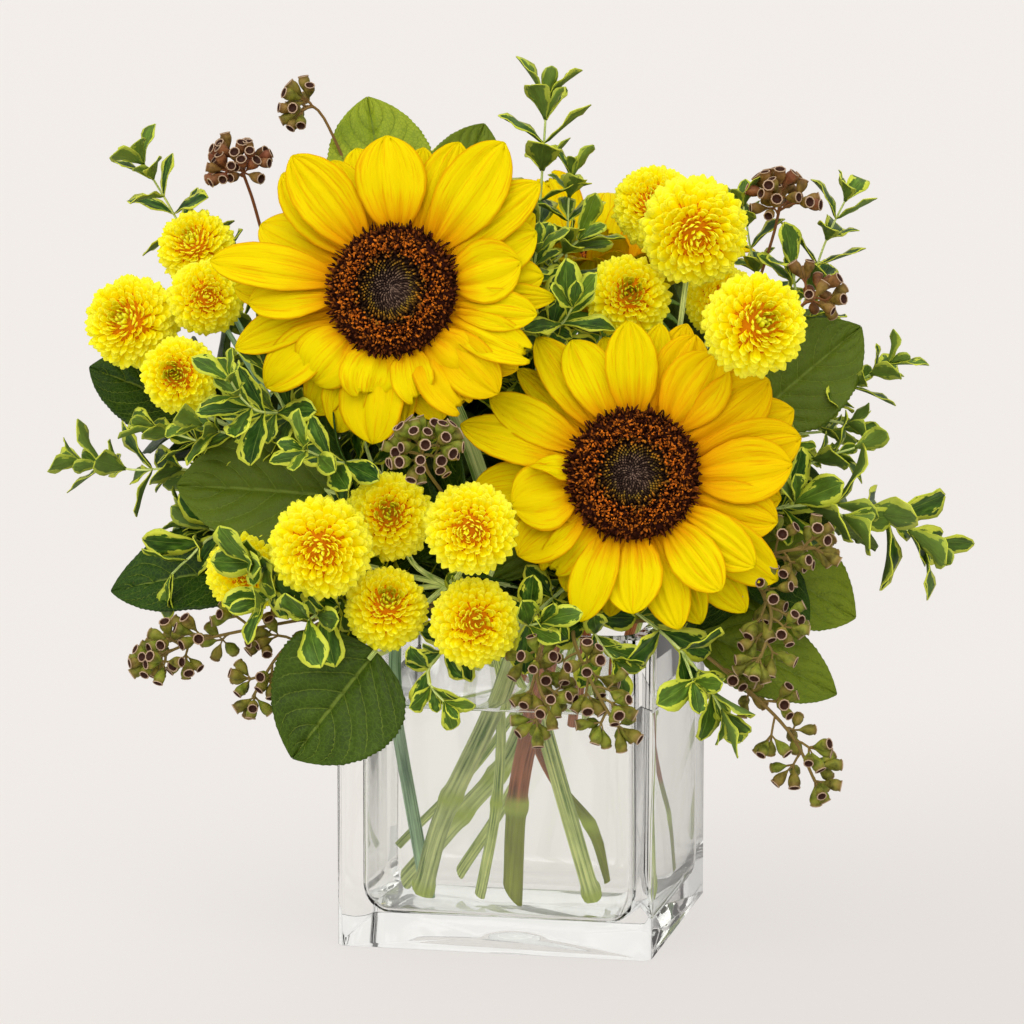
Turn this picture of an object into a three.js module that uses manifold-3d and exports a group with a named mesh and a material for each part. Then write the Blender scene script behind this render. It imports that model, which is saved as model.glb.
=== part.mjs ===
// Sunflowers, button chrysanthemums and mixed foliage standing in water in a square glass vase.
// Lengths are millimetres and +Z is up. The origin is the middle of the vase's foot, on the table.
import * as THREE from 'three';
import { mergeVertices } from 'three/addons/utils/BufferGeometryUtils.js';
import Module from 'manifold-3d';

const wasm = await Module();
wasm.setup();

// ---------------------------------------------------------------- driving dimensions
const VASE = {
  side: 127, height: 127, wall: 9, base: 12.5, outerRound: 4, rimRound: 3, innerRound: 11, floorRound: 12,
};
const WATER_TOP = 97;
const GAP = 0.3; // clearance between neighbouring pieces
const SLACK = 0.05; // facets flatter than this are merged
const VIEW_TURN = THREE.MathUtils.degToRad(12.3); // the bouquet's front is turned this far from the vase's

// Every place below is [across, depth, up] as seen from the bouquet's front:
// across is to the right, depth is away from the viewer, up is the height above the table.
const SUNFLOWERS = [
  {
    name: 'sunflower_left', head: [-51, -70, 262], faces: [-0.22, -0.93, 0.25], reach: 66, disc: 25,
    stem: [[29, -26, 16], [9, -20, 85], [-2, -14, 127], [-20, -20, 190], [-38, -38, 236]], thick: 3.4,
  },
  {
    name: 'sunflower_right', head: [41, -80, 192], faces: [-0.08, -0.96, 0.26], reach: 66, disc: 25,
    stem: [[-40, -34, 19], [-31, -34, 51], [-12, -32, 91], [2, -28, 127], [22, -34, 160]], thick: 4,
  },
  {
    name: 'sunflower_back', head: [30, 44, 257], faces: [0.08, -0.3, 0.95], reach: 60, disc: 22,
    stem: [[-46, -2, 19], [-22, -2, 47], [0, 2, 75], [12, 6, 127], [22, 28, 190]], thick: 3.6,
  },
];

// Each spray of button chrysanthemums is one stem that forks to several round heads.
const POMPON_SPRAYS = [
  {
    name: 'pompon_stem_left', thick: 2.8,
    trunk: [[-36, -18, 15], [-50, -28, 92], [-52, -22, 127], [-62, 12, 172]],
    heads: [[-157, -10, 245, 18.5], [-133, 15, 273, 15.5], [-127, -21, 256, 15], [-136, -41, 227, 15]],
  },
  {
    name: 'pompon_stem_front', thick: 2.2,
    trunk: [[-16, -17, 15], [-9, -17, 54], [-8, -20, 92], [-16, -36, 127], [-31, -54, 146]],
    heads: [
      [-78, -100, 167, 19.5, [-64, -69, 156]], [-53, -72, 175, 17], [-21, -114, 176, 17.5],
      [-54, -84, 141, 16], [-20, -99, 138, 17], [-109, -62, 152, 15.5],
    ],
  },
  {
    name: 'pompon_stem_right', thick: 2.2, trunk: [[-22, 24, 19], [2, 20, 59], [26, -2, 127], [50, -14, 190]],
    heads: [
      [65, -47, 284, 21], [51, -10, 291, 16.5], [40, -36, 257, 16.6],
      [86, -94, 251, 19.5, [99, -58, 256]], [77, -22, 255, 14.5],
    ],
  },
  {
    name: 'pompon_stem_back', thick: 2.2, trunk: [[-14, 34, 88], [-8, 50, 127], [-8, 74, 150]],
    heads: [[-78, 58, 222, 17], [2, 98, 190, 17.5], [62, 84, 192, 17]],
  },
];

// A shoot is [leaf length, leaf pairs, share of the shoot that is bare, points after the fork].
const VARIEGATED = [
  {
    name: 'variegated_left', thick: 1.6, trunk: [[4, -8, 86], [-20, -12, 127], [-46, -22, 147]],
    shoots: [
      [18, 2, 0.72, [-104, 30, 228], [-136, 38, 272], [-147, 22, 294], [-160, 8, 318]],
      [19, 4, 0.5, [-124, -20, 184], [-158, -18, 187], [-191, -14, 192]],
      [17, 2, 0.6, [-110, -28, 190], [-140, -30, 203], [-159, -30, 209]],
      [19, 2, 0.5, [-112, -34, 164], [-134, -46, 154], [-148, -50, 138]],
      [18, 2, 0.6, [-84, -34, 204], [-106, -76, 218], [-118, -92, 240]],
      [17, 2, 0.66, [-58, -46, 190], [-74, -78, 197], [-90, -104, 208]],
      [22, 2, 0.66, [-80, -52, 158], [-104, -82, 158], [-114, -98, 160]],
      [20, 2, 0.7, [-66, -50, 140], [-80, -92, 140], [-88, -114, 136]],
    ],
  },
  {
    name: 'variegated_front', thick: 1.5, trunk: [[26, -14, 86], [24, -30, 127], [20, -50, 150]],
    shoots: [
      [15, 3, 0.6, [-16, -74, 134], [-38, -96, 118], [-24, -110, 102]],
      [17, 2, 0.45, [4, -74, 138], [0, -100, 137], [12, -120, 143]],
      [17, 2, 0.5, [24, -72, 135], [30, -90, 126], [40, -104, 117]],
      [20, 3, 0.5, [42, -72, 138], [64, -90, 120], [82, -94, 90]],
    ],
  },
  {
    name: 'variegated_right', thick: 1.6,
    trunk: [[-46, 20, 31], [-11, 18, 68], [30, 20, 127], [58, 4, 165]],
    shoots: [
      [19, 3, 0.62, [104, 4, 235], [121, 0, 279], [134, -4, 306]],
      [15, 1, 0.8, [92, 4, 235], [89, 0, 280], [84, -2, 302]],
      [16, 2, 0.66, [108, -10, 205], [137, -18, 225], [154, -20, 236]],
      [17, 2, 0.55, [100, -34, 188], [124, -36, 196], [142, -34, 201]],
      [25, 4, 0.45, [97, -48, 175], [136, -46, 174], [177, -42, 151]],
    ],
  },
  {
    name: 'variegated_top', thick: 1.6, trunk: [[14, 26, 86], [2, 22, 127], [-4, 4, 200]],
    shoots: [
      [20, 4, 0.5, [2, -16, 250], [6, -15, 300], [9, -12, 349]],
      [17, 1, 0.75, [14, -18, 260], [17, -17, 296], [20, -18, 316]],
      [19, 2, 0.62, [-2, -34, 250], [3, -46, 270], [5, -60, 286]],
      [19, 2, 0.7, [6, -34, 236], [15, -58, 250], [20, -82, 262]],
    ],
  },
  {
    name: 'variegated_back', thick: 1.6, trunk: [[2, 42, 88], [4, 46, 127], [2, 62, 158]],
    shoots: [
      [20, 2, 0.5, [-60, 84, 196], [-100, 96, 212], [-132, 92, 216]],
      [20, 2, 0.5, [14, 98, 168], [26, 114, 176], [36, 126, 170]],
      [20, 2, 0.55, [70, 72, 168], [108, 76, 190], [138, 70, 204]],
      [20, 2, 0.55, [-30, 96, 240], [-34, 100, 280], [-38, 96, 306]],
    ],
  },
];

const SEEDED = [
  {
    name: 'seeded_left', thick: 2.2,
    trunk: [[37, 14, 19], [29, 13, 41], [12, 11, 64], [-16, 8, 127], [-44, 4, 168]],
    shoots: [
      [9, 1, 0.86, [-72, 30, 270], [-90, 24, 322], [-102, 20, 334]],
      [9, 2, 0.86, [-100, 32, 250], [-116, 22, 296], [-122, 12, 312]],
      [9, 3, 0.86, [-32, -44, 186], [-38, -86, 202], [-39, -106, 211]],
    ],
  },
  {
    name: 'seeded_low', thick: 2, trunk: [[20, -28, 86], [24, -42, 127], [22, -56, 132]],
    shoots: [
      [9, 3, 0.62, [-30, -58, 137], [-62, -54, 136], [-126, -52, 124], [-150, -62, 115]],
      [9, 1, 0.85, [-28, -60, 139], [-60, -56, 138], [-92, -60, 124], [-110, -66, 98]],
      [9, 3, 0.6, [8, -80, 130], [4, -106, 118], [12, -108, 96]],
      [9, 2, 0.6, [18, -80, 130], [24, -112, 118], [37, -112, 95]],
      [9, 3, 0.7, [40, -60, 132], [56, -66, 130], [98, -76, 96], [115, -72, 66]],
    ],
  },
  {
    name: 'seeded_right', thick: 2, trunk: [[36, -4, 88], [44, -14, 127], [62, -30, 160]],
    shoots: [
      [9, 2, 0.6, [84, -62, 157], [101, -80, 163], [117, -78, 164]],
      [9, 2, 0.6, [84, -66, 152], [94, -86, 140], [88, -90, 117]],
      [9, 3, 0.82, [82, 2, 225], [100, -4, 284], [99, -8, 302]],
      [9, 1, 0.86, [84, -34, 226], [106, -38, 252], [118, -34, 262]],
    ],
  },
];

// A broad leaf is [base, tip, width, which way its upper face looks].
const LEMON_LEAF = [
  {
    name: 'lemon_leaf_front', thick: 4,
    trunk: [[-4, -37, 15], [-2, -38, 58], [4, -42, 93], [10, -46, 127], [-2, -44, 150]],
    leaves: [
      [[-60, -88, 122], [-96, -94, 83], 47, [-0.3, -0.9, 0.35], [-38, -58, 130], [-56, -75, 122]],
      [[-72, -56, 181], [-139, -52, 188], 42, [0.1, -0.75, 0.65]],
      [[-108, -34, 150], [-167, -34, 146], 42, [0, -0.7, 0.7], [-20, -29, 137], [-58, -30, 133]],
      [[-14, -58, 148], [-6, -66, 190], 34, [0, -1, 0.2]],
    ],
  },
  {
    name: 'lemon_leaf_right', thick: 2.4, trunk: [[38, 16, 88], [48, 14, 127], [62, 8, 146]],
    leaves: [
      [[92, -24, 210], [134, -20, 246], 42, [0.1, -0.9, 0.3]],
      [[80, -48, 160], [134, -46, 134], 44, [0.2, -0.85, 0.45]],
      [[66, -54, 128], [126, -54, 106], 38, [0, -0.8, 0.6]],
      [[92, 24, 168], [148, 34, 158], 42, [0.3, 0.2, 0.9]],
      [[80, 40, 200], [120, 66, 244], 40, [0.5, 0.5, 0.6]],
    ],
  },
  {
    name: 'lemon_leaf_back', thick: 2.4, trunk: [[-20, 24, 92], [-26, 28, 127], [-34, 30, 162]],
    leaves: [
      [[-56, 24, 285], [-64, 32, 336], 44, [0.1, -0.95, 0.2]],
      [[-128, 2, 206], [-176, 4, 230], 40, [-0.1, -0.8, 0.6]],
      [[-34, 24, 280], [-15, 30, 324], 36, [0.2, -0.95, 0.1]],
      [[-90, 56, 178], [-150, 66, 170], 44, [-0.3, 0.3, 0.9]],
      [[-60, 84, 150], [-96, 114, 128], 44, [-0.3, 0.8, 0.5]],
      [[20, 92, 140], [28, 128, 112], 44, [0.1, 0.8, 0.6]],
      [[-20, 104, 212], [-26, 122, 258], 42, [0, 1, 0.2]],
      [[58, 92, 230], [74, 106, 272], 40, [0.2, 0.95, 0.2]],
      [[80, 74, 150], [130, 92, 128], 42, [0.4, 0.6, 0.7]],
    ],
  },
];

// ---------------------------------------------------------------- small tools
const vec = (p) => new THREE.Vector3(...p);
const FRONT = new THREE.Matrix4().makeRotationZ(VIEW_TURN);
const place = (p) => vec(p).applyMatrix4(FRONT);
const point = (v) => [v.x, v.y, v.z];

// A repeatable scatter from -1 to 1 for piece number i of a group.
function scatter(i, group) {
  const raw = Math.sin(i * 12.9898 + group * 78.233) * 43758.5453;
  return 2 * (raw - Math.floor(raw)) - 1;
}

// A closed three.js geometry as a solid, turned right side out.
function solid(geometry) {
  const bare = geometry.clone();
  for (const key of Object.keys(bare.attributes)) if (key !== 'position') bare.deleteAttribute(key);
  const merged = mergeVertices(bare, 1e-4);
  const make = (order) => new wasm.Manifold(new wasm.Mesh({
    numProp: 3, vertProperties: merged.attributes.position.array, triVerts: order,
  }));
  const order = new Uint32Array(merged.index.array);
  const made = make(order);
  return made.volume() > 0 ? made : make(order.reverse());
}

const fuse = (solids) => wasm.Manifold.union(solids);

// The largest body of a solid: a scrap that a cut leaves loose is dropped.
function largest(made) {
  const bodies = made.decompose();
  return bodies.reduce((a, b) => (a.volume() > b.volume() ? a : b));
}

// A solid's surface as a three.js geometry.
function surfaceOf(made) {
  const mesh = made.getMesh();
  const positions = new Float32Array(mesh.numVert * 3);
  for (let i = 0; i < mesh.numVert; i += 1) {
    positions.set(mesh.vertProperties.subarray(i * mesh.numProp, i * mesh.numProp + 3), i * 3);
  }
  const geometry = new THREE.BufferGeometry();
  geometry.setAttribute('position', new THREE.BufferAttribute(positions, 3));
  geometry.setIndex(new THREE.BufferAttribute(mesh.triVerts, 1));
  geometry.computeVertexNormals();
  return geometry;
}

// The solid with its surface moved out by some distance, used to cut a neighbour clear of it.
function grown(made, by) {
  const surface = surfaceOf(made);
  const positions = surface.attributes.position.array;
  const normals = surface.attributes.normal.array;
  for (let i = 0; i < positions.length; i += 1) positions[i] += normals[i] * by;
  const mesh = new wasm.Mesh({ numProp: 3, vertProperties: positions, triVerts: surface.index.array });
  return new wasm.Manifold(mesh);
}

function boxesMeet(a, b) {
  const p = a.boundingBox();
  const q = b.boundingBox();
  return [0, 1, 2].every((k) => p.min[k] < q.max[k] + GAP && q.min[k] < p.max[k] + GAP);
}

// Cuts a solid clear of those neighbours that it crosses.
function clearOf(made, neighbours) {
  let left = made;
  for (const other of neighbours) {
    if (!boxesMeet(left, other)) continue;
    const cutter = grown(other, GAP);
    if (left.intersect(cutter).volume() > 1e-3) left = left.subtract(cutter);
  }
  return left;
}

function roundedSquare(side, radius, arcs) {
  const inset = side / 2 - radius;
  const outline = [];
  [[1, 1], [-1, 1], [-1, -1], [1, -1]].forEach(([right, back], quarter) => {
    for (let k = 0; k <= arcs; k += 1) {
      const a = (quarter + k / arcs) * Math.PI / 2;
      const corner = new THREE.Vector2(right * inset, back * inset);
      outline.push(corner.add(new THREE.Vector2(radius * Math.cos(a), radius * Math.sin(a))));
    }
  });
  return new THREE.Shape(outline);
}

// A block with a rounded square plan and both its ends rounded over.
function roundedBlock(side, low, high, cornerRound, endRound, arcs) {
  const plan = roundedSquare(side - 2 * endRound, Math.max(cornerRound - endRound, 0.5), arcs);
  const geometry = new THREE.ExtrudeGeometry(plan, {
    depth: high - low - 2 * endRound, bevelThickness: endRound, bevelSize: endRound, bevelSegments: arcs,
  });
  return geometry.translate(0, 0, low + endRound);
}

const smooth = (places) => new THREE.CatmullRomCurve3(places, false, 'catmullrom', 0.5);
const stemCurve = (points) => smooth(points.map(place));

// A round stem along a curve. A thin one has few sides.
function stemAlong(curve, radius, steps, sides) {
  const ring = [];
  for (let k = 0; k < sides; k += 1) {
    const a = (k / sides) * 2 * Math.PI;
    ring.push(new THREE.Vector2(radius * Math.cos(a), radius * Math.sin(a)));
  }
  const along = { steps, bevelEnabled: false, extrudePath: curve };
  return solid(new THREE.ExtrudeGeometry(new THREE.Shape(ring), along));
}

// A pointed blade: a flattened sphere whose pole runs from its root to its tip.
// peak above 1 moves its widest place towards the tip; arch bends the tip away from the upper face.
// roll turns it about its own length, so that neighbours lie over each other like shingles.
function blade(shape) {
  const { root, along, length, width, thick, rings = 3, peak = 1, arch = 1e-3, fold = 0, roll = 0 } = shape;
  const geometry = new THREE.SphereGeometry(1, 3, rings);
  const up = shape.up.clone().applyAxisAngle(along, roll);
  const side = new THREE.Vector3().crossVectors(along, up);
  const edge = Math.sqrt(3) / 2; // how far the two edges of the three-sided section stand out
  const places = geometry.attributes.position;
  for (let i = 0; i < places.count; i += 1) {
    const share = (1 - places.getY(i)) / 2;
    const belt = Math.sqrt(Math.max(1e-12, 1 - places.getY(i) ** 2));
    const half = (width / 2) * Math.sin(Math.PI * share ** peak) ** 0.75;
    const out = places.getZ(i) / belt / edge;
    const height = (thick / 2) * (places.getX(i) / belt) + fold * Math.abs(out) * half;
    const bend = arch * share;
    const run = (length * Math.sin(bend)) / arch + height * Math.sin(bend);
    const lift = height * Math.cos(bend) - (length * (1 - Math.cos(bend))) / arch;
    const spot = root.clone().addScaledVector(along, run).addScaledVector(up, lift);
    spot.addScaledVector(side, out * half);
    places.setXYZ(i, spot.x, spot.y, spot.z);
  }
  return solid(geometry);
}

// ---------------------------------------------------------------- room that is taken
const room = [];
const takeRoom = (p, radius, owner) => room.push([p.x, p.y, p.z, radius, owner]);
function isFree(points, radius, owner) {
  const wall = VASE.side / 2 + 2;
  return points.every((p) => {
    if (Math.abs(p.x) < wall && Math.abs(p.y) < wall && p.z < VASE.height + 2) return false;
    if (p.z < 4) return false;
    return room.every(([x, y, z, r, who]) => who === owner
      || (p.x - x) ** 2 + (p.y - y) ** 2 + (p.z - z) ** 2 > (r + radius) ** 2);
  });
}

function takeCurve(curve, radius, owner) {
  const steps = Math.ceil(curve.getLength() / 3);
  for (let k = 0; k <= steps; k += 1) takeRoom(curve.getPoint(k / steps), radius, owner);
}

// The places that a blade covers, for the test above.
function bladePlaces({ root, along, up, length, width, arch = 0 }, fine) {
  const side = new THREE.Vector3().crossVectors(along, up);
  const shares = fine ? [0.2, 0.32, 0.44, 0.56, 0.68, 0.8, 0.9, 1] : [0.45, 0.72, 1];
  const widths = fine ? [-0.9, -0.6, -0.3, 0, 0.3, 0.6, 0.9] : [-0.8, 0, 0.8];
  const places = [];
  for (const share of shares) {
    const narrowed = share > 0.8 ? 0.6 : 1;
    for (const w of widths) {
      if (share === 1 && w !== 0) continue;
      places.push(root.clone().addScaledVector(along, length * share)
        .addScaledVector(up, (-length * arch * share * share) / 2)
        .addScaledVector(side, (w * width * narrowed) / 2));
    }
  }
  return places;
}

// ---------------------------------------------------------------- the vase and its water
const ABOVE = 40; // how far the cavity's cutter runs on past the rim
function cavity(inset, arcs) {
  const side = VASE.side - 2 * VASE.wall - 2 * inset;
  const top = VASE.height + ABOVE;
  return solid(roundedBlock(side, VASE.base + inset, top, VASE.innerRound, VASE.floorRound, arcs));
}

function makeVase() {
  const outside = solid(roundedBlock(VASE.side, 0, VASE.height, VASE.outerRound, VASE.rimRound, 2));
  return outside.subtract(cavity(0, 3));
}

function makeWater(stems) {
  const block = new THREE.BoxGeometry(VASE.side, VASE.side, WATER_TOP);
  const below = solid(block.translate(0, 0, WATER_TOP / 2));
  return clearOf(cavity(GAP, 3).intersect(below), stems);
}

// ---------------------------------------------------------------- sunflowers
// The head's own frame: +Z is the way that it faces, and its origin is the middle of the disc.
function headFrame(flower) {
  const z = vec(flower.faces).normalize().applyMatrix4(FRONT);
  const x = new THREE.Vector3(0, 0, 1).cross(z).normalize();
  const y = new THREE.Vector3().crossVectors(z, x);
  return new THREE.Matrix4().makeBasis(x, y, z).setPosition(place(flower.head));
}

const PETAL_WHORLS = [
  { count: 13, rise: 0.62, arch: 0.75, root: -2.6, reach: 0.92, rings: 4 },
  { count: 13, rise: 0.22, arch: 0.3, root: -4.6, reach: 1, rings: 3 },
];
const SHINGLE = 0.28; // how far a petal is rolled, so that its edges pass its neighbours

function makePetals(flower, frame, seed) {
  const core = new THREE.CylinderGeometry(flower.disc + 1, flower.disc - 1, 4.4, 13);
  const parts = [solid(core.rotateX(Math.PI / 2).translate(0, 0, -3.3))];
  PETAL_WHORLS.forEach((whorl, layer) => {
    for (let i = 0; i < whorl.count; i += 1) {
      const wobble = scatter(i, seed + layer);
      const turn = ((i + 0.5 * layer + 0.16 * wobble) / whorl.count) * 2 * Math.PI;
      const rise = whorl.rise + 0.14 * scatter(i + 40, seed + layer);
      const out = new THREE.Vector3(Math.cos(turn), Math.sin(turn), 0);
      const along = out.clone().multiplyScalar(Math.cos(rise)).setZ(Math.sin(rise));
      const up = out.clone().multiplyScalar(-Math.sin(rise)).setZ(Math.cos(rise));
      const start = flower.disc - 1.5;
      const length = (flower.reach * whorl.reach - start) * (1.1 + 0.05 * wobble);
      parts.push(blade({
        root: out.multiplyScalar(start).setZ(whorl.root), along, up, length, width: flower.reach * 0.36,
        thick: 1.3, rings: whorl.rings, peak: 1.3, arch: whorl.arch + 0.1 * wobble, roll: SHINGLE,
      }));
    }
  });
  return solidIn(frame, fuse(parts));
}

const solidIn = (frame, made) => made.transform(frame.elements);

// A profile of [share of the radius, height] turned about +Z.
function latheAboutZ(profile, radius, segments) {
  const outline = profile.map(([share, height]) => new THREE.Vector2(share * radius, height));
  return new THREE.LatheGeometry(outline, segments).rotateX(Math.PI / 2);
}

// The dark disc: a low dome with a dimple, its florets raised from it by a formula.
function makeDisc(flower, frame) {
  const FLORET_RELIEF = 0.9;
  const DISC_SPIRALS = 8;
  const profile = [
    [0, -0.7], [0.9, -0.7], [1, 1.2], [0.94, 3.4], [0.74, 5], [0.5, 4], [0.26, 3.2], [0, 2.6],
  ];
  const geometry = latheAboutZ(profile, flower.disc, 2 * DISC_SPIRALS);
  const places = geometry.attributes.position;
  for (let i = 0; i < places.count; i += 1) {
    const v = new THREE.Vector3().fromBufferAttribute(places, i);
    const radius = Math.hypot(v.x, v.y);
    if (radius < 0.2 * flower.disc || v.z < 0) continue;
    const spiral = Math.cos(DISC_SPIRALS * Math.atan2(v.y, v.x) + (radius / flower.disc) * 24);
    v.z += FLORET_RELIEF * spiral;
    places.setXYZ(i, v.x, v.y, v.z);
  }
  return solidIn(frame, solid(geometry));
}

// The green back of the head with its pointed bracts, and the stem that carries it.
function makeSunflowerStem(flower, frame, seed) {
  const back = [[0, -20], [0.22, -20], [0.5, -15], [0.84, -9.5], [0.9, -5.9], [0, -5.9]];
  const parts = [solid(latheAboutZ(back, flower.disc, 10))];
  const BRACTS = 9;
  for (let i = 0; i < BRACTS; i += 1) {
    const turn = ((i + 0.2 * scatter(i, seed + 7)) / BRACTS) * 2 * Math.PI;
    const out = new THREE.Vector3(Math.cos(turn), Math.sin(turn), 0);
    const along = out.clone().multiplyScalar(0.97).setZ(-0.25);
    const up = out.clone().multiplyScalar(0.25).setZ(0.97);
    const root = out.multiplyScalar(flower.disc * 0.7).setZ(-9.5);
    parts.push(blade({ root, along, up, length: 22, width: 11, thick: 1.8, peak: 0.8, rings: 2 }));
  }
  const head = solidIn(frame, fuse(parts));
  const neck = new THREE.Vector3(0, 0, -16).applyMatrix4(frame);
  const start = new THREE.Vector3(0, 0, -30).applyMatrix4(frame);
  const curve = smooth([...flower.stem.map(place), start, neck]);
  takeCurve(curve, flower.thick + 0.8, flower.name);
  return fuse([head, stemAlong(curve, flower.thick, 10, 5)]);
}

// The whole head takes room: rings of places from its middle out to its petals' tips.
function takeHead(flower, frame) {
  const RINGS = 7;
  for (let ring = 1; ring <= RINGS; ring += 1) {
    const radius = (ring / RINGS) * (flower.reach - 3);
    const beyond = Math.max(0, radius - flower.disc) / (flower.reach - flower.disc);
    const height = beyond > 0 ? 2 + 5 * Math.sin(2 * beyond) : 0;
    const count = Math.ceil(radius / 1.4);
    for (let k = 0; k < count; k += 1) {
      const turn = (k / count) * 2 * Math.PI;
      const spot = new THREE.Vector3(radius * Math.cos(turn), radius * Math.sin(turn), height);
      takeRoom(spot.applyMatrix4(frame), 5.5, flower.name);
    }
  }
}

// ---------------------------------------------------------------- button chrysanthemums
// A dense round head: each face of a small ball carries one floret, a blunt spike that leans from the crown.
function makePompon(centre, radius, crown, seed) {
  const ball = new THREE.OctahedronGeometry(radius * 0.84, 2);
  ball.applyMatrix4(new THREE.Matrix4().makeRotationZ(seed));
  const places = ball.attributes.position;
  const points = [];
  for (let i = 0; i < places.count; i += 3) {
    const corner = [0, 1, 2].map((k) => new THREE.Vector3().fromBufferAttribute(places, i + k));
    const middle = corner[0].clone().add(corner[1]).add(corner[2]).normalize();
    const lean = crown.clone().addScaledVector(middle, -crown.dot(middle)).multiplyScalar(-0.16);
    const tip = middle.clone().add(lean).normalize().multiplyScalar(radius * (1 + 0.03 * scatter(i, seed)));
    corner.forEach((c, k) => points.push(c, corner[(k + 1) % 3], tip));
  }
  return solid(new THREE.BufferGeometry().setFromPoints(points)).translate(point(centre));
}

const BRANCH_RADIUS = 1.3;
function makePomponStem(spray) {
  const trunk = stemCurve(spray.trunk);
  takeCurve(trunk, spray.thick + 0.6, spray.name);
  const parts = [stemAlong(trunk, spray.thick, 2 * (spray.trunk.length - 1), 5)];
  const fork = spray.trunk[spray.trunk.length - 1];
  const before = spray.trunk[spray.trunk.length - 2];
  for (const [x, y, z, radius, via] of spray.heads) {
    const head = place([x, y, z]);
    const rise = place(via ?? [fork[0] * 0.45 + x * 0.55, (fork[1] + y) / 2, (fork[2] + z) / 2 - 6]);
    const reached = rise.clone().sub(head).setLength(radius + BRANCH_RADIUS + GAP).add(head);
    const inFork = place(fork).lerp(place(before), 0.02);
    const branch = smooth([inFork, rise, reached]);
    takeCurve(branch, BRANCH_RADIUS + 0.5, spray.name);
    parts.push(stemAlong(branch, BRANCH_RADIUS, 3, 3));
    takeRoom(head, radius + 0.8, spray.name);
  }
  return fuse(parts);
}

// ---------------------------------------------------------------- foliage
const SHOOT_RADIUS = 0.9;
const SHOOT_STEPS = 3;
const LEAF_ROOM = 1.3; // half the room that a leaf needs to its neighbours
const TURNS = [0, 25, -25, 50, -50, 80, -80].map(THREE.MathUtils.degToRad);

// The tangent of a shoot and two directions across it.
function axesAt(curve, share) {
  const tangent = curve.getTangent(share);
  const away = Math.abs(tangent.z) > 0.9 ? new THREE.Vector3(1, 0, 0) : new THREE.Vector3(0, 0, 1);
  const first = new THREE.Vector3().crossVectors(tangent, away).normalize();
  return { tangent, first, second: new THREE.Vector3().crossVectors(tangent, first) };
}

const around = (first, second, turn) => first.clone().multiplyScalar(Math.cos(turn))
  .addScaledVector(second, Math.sin(turn));

// A leaf that leaves the shoot at some turn round it and some opening from it, bent clear of what is there.
function leafOn(curve, share, turn, open, size, owner) {
  const { tangent, first, second } = axesAt(curve, share);
  for (const extra of TURNS) {
    const out = around(first, second, turn + extra);
    const along = tangent.clone().multiplyScalar(Math.cos(open)).addScaledVector(out, Math.sin(open));
    const up = tangent.clone().multiplyScalar(Math.sin(open)).addScaledVector(out, -Math.cos(open));
    const leaf = { root: curve.getPoint(share), along, up, arch: 0.5, peak: 1.15, ...size };
    const places = bladePlaces(leaf, false);
    if (!isFree(places, LEAF_ROOM, owner)) continue;
    places.forEach((p) => takeRoom(p, LEAF_ROOM, `${owner}_leaf`));
    return leaf;
  }
  return null;
}

function forkedStem(plant) {
  const trunk = stemCurve(plant.trunk);
  takeCurve(trunk, plant.thick + 0.5, plant.name);
  return stemAlong(trunk, plant.thick, 2 * (plant.trunk.length - 1), 5);
}

// Shoots leave the trunk one below the other, a little under its end.
function shootCurve(plant, order, places) {
  const start = stemCurve(plant.trunk).getPoint(0.98 - 0.02 * order);
  return smooth([start, ...places]);
}

function variegatedLeaves(plant, seed) {
  const leaves = [];
  plant.shoots.forEach(([length, pairs, bare, ...points], s) => {
    const curve = shootCurve(plant, s, points.map(place));
    for (let i = 0; i < pairs; i += 1) {
      const share = bare + (1 - bare) * ((i + 0.2) / pairs);
      for (const side of [0, 1]) {
        const k = s * 100 + i * 2 + side;
        const turn = i * (Math.PI / 2) + side * Math.PI + s * 0.7 + 0.3 * scatter(k, seed);
        const open = 0.95 - 0.4 * (i / pairs) + 0.12 * scatter(k + 3, seed);
        const full = length * (1 - 0.3 * (i / pairs) ** 2);
        const size = { length: full * (1 + 0.12 * scatter(k + 7, seed)), width: full * 0.46 };
        const leaf = leafOn(curve, share, turn, open, size, plant.name);
        if (leaf) leaves.push(blade({ ...leaf, thick: 1.5, fold: 0.18 }));
      }
    }
    const tip = axesAt(curve, 1);
    leaves.push(blade({
      root: curve.getPoint(0.985), along: tip.tangent, up: tip.first, length: length * 0.6,
      width: length * 0.24, thick: 1.5, peak: 1.1,
    }));
  });
  return leaves;
}

// A gum nut: an urn with a flared rim, joined to its twig by its narrow end.
function makePod(root, along, length) {
  const profile = [[0, 0], [0.32, 0.6], [0.28, 1], [0, 0.8]];
  const outline = profile.map(([r, h]) => new THREE.Vector2(r * length, h * length));
  const geometry = new THREE.LatheGeometry(outline, 4);
  geometry.applyQuaternion(new THREE.Quaternion().setFromUnitVectors(new THREE.Vector3(0, 1, 0), along));
  return solid(geometry.translate(root.x, root.y, root.z));
}

const PODS_PER_KNOT = 3;
function seededPods(plant, seed) {
  const pods = [];
  plant.shoots.forEach(([length, knots, bare, ...points], s) => {
    const curve = shootCurve(plant, s, points.map(place));
    for (let i = 0; i < knots; i += 1) {
      const share = bare + (1 - bare) * ((i + 0.9) / knots);
      const { tangent, first, second } = axesAt(curve, share);
      for (let k = 0; k < PODS_PER_KNOT; k += 1) {
        const turn = (k / PODS_PER_KNOT) * 2 * Math.PI + i * 0.8 + 0.4 * scatter(s * 50 + i * 8 + k, seed);
        const along = tangent.clone().multiplyScalar(0.45).add(around(first, second, turn)).normalize();
        const root = curve.getPoint(share);
        const ends = [0.6, 1].map((part) => root.clone().addScaledVector(along, length * part));
        if (!isFree(ends, 1.8, plant.name)) continue;
        ends.forEach((p) => takeRoom(p, 1.8, `${plant.name}_pod`));
        pods.push(makePod(root, along, length));
      }
    }
  });
  return pods;
}

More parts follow.
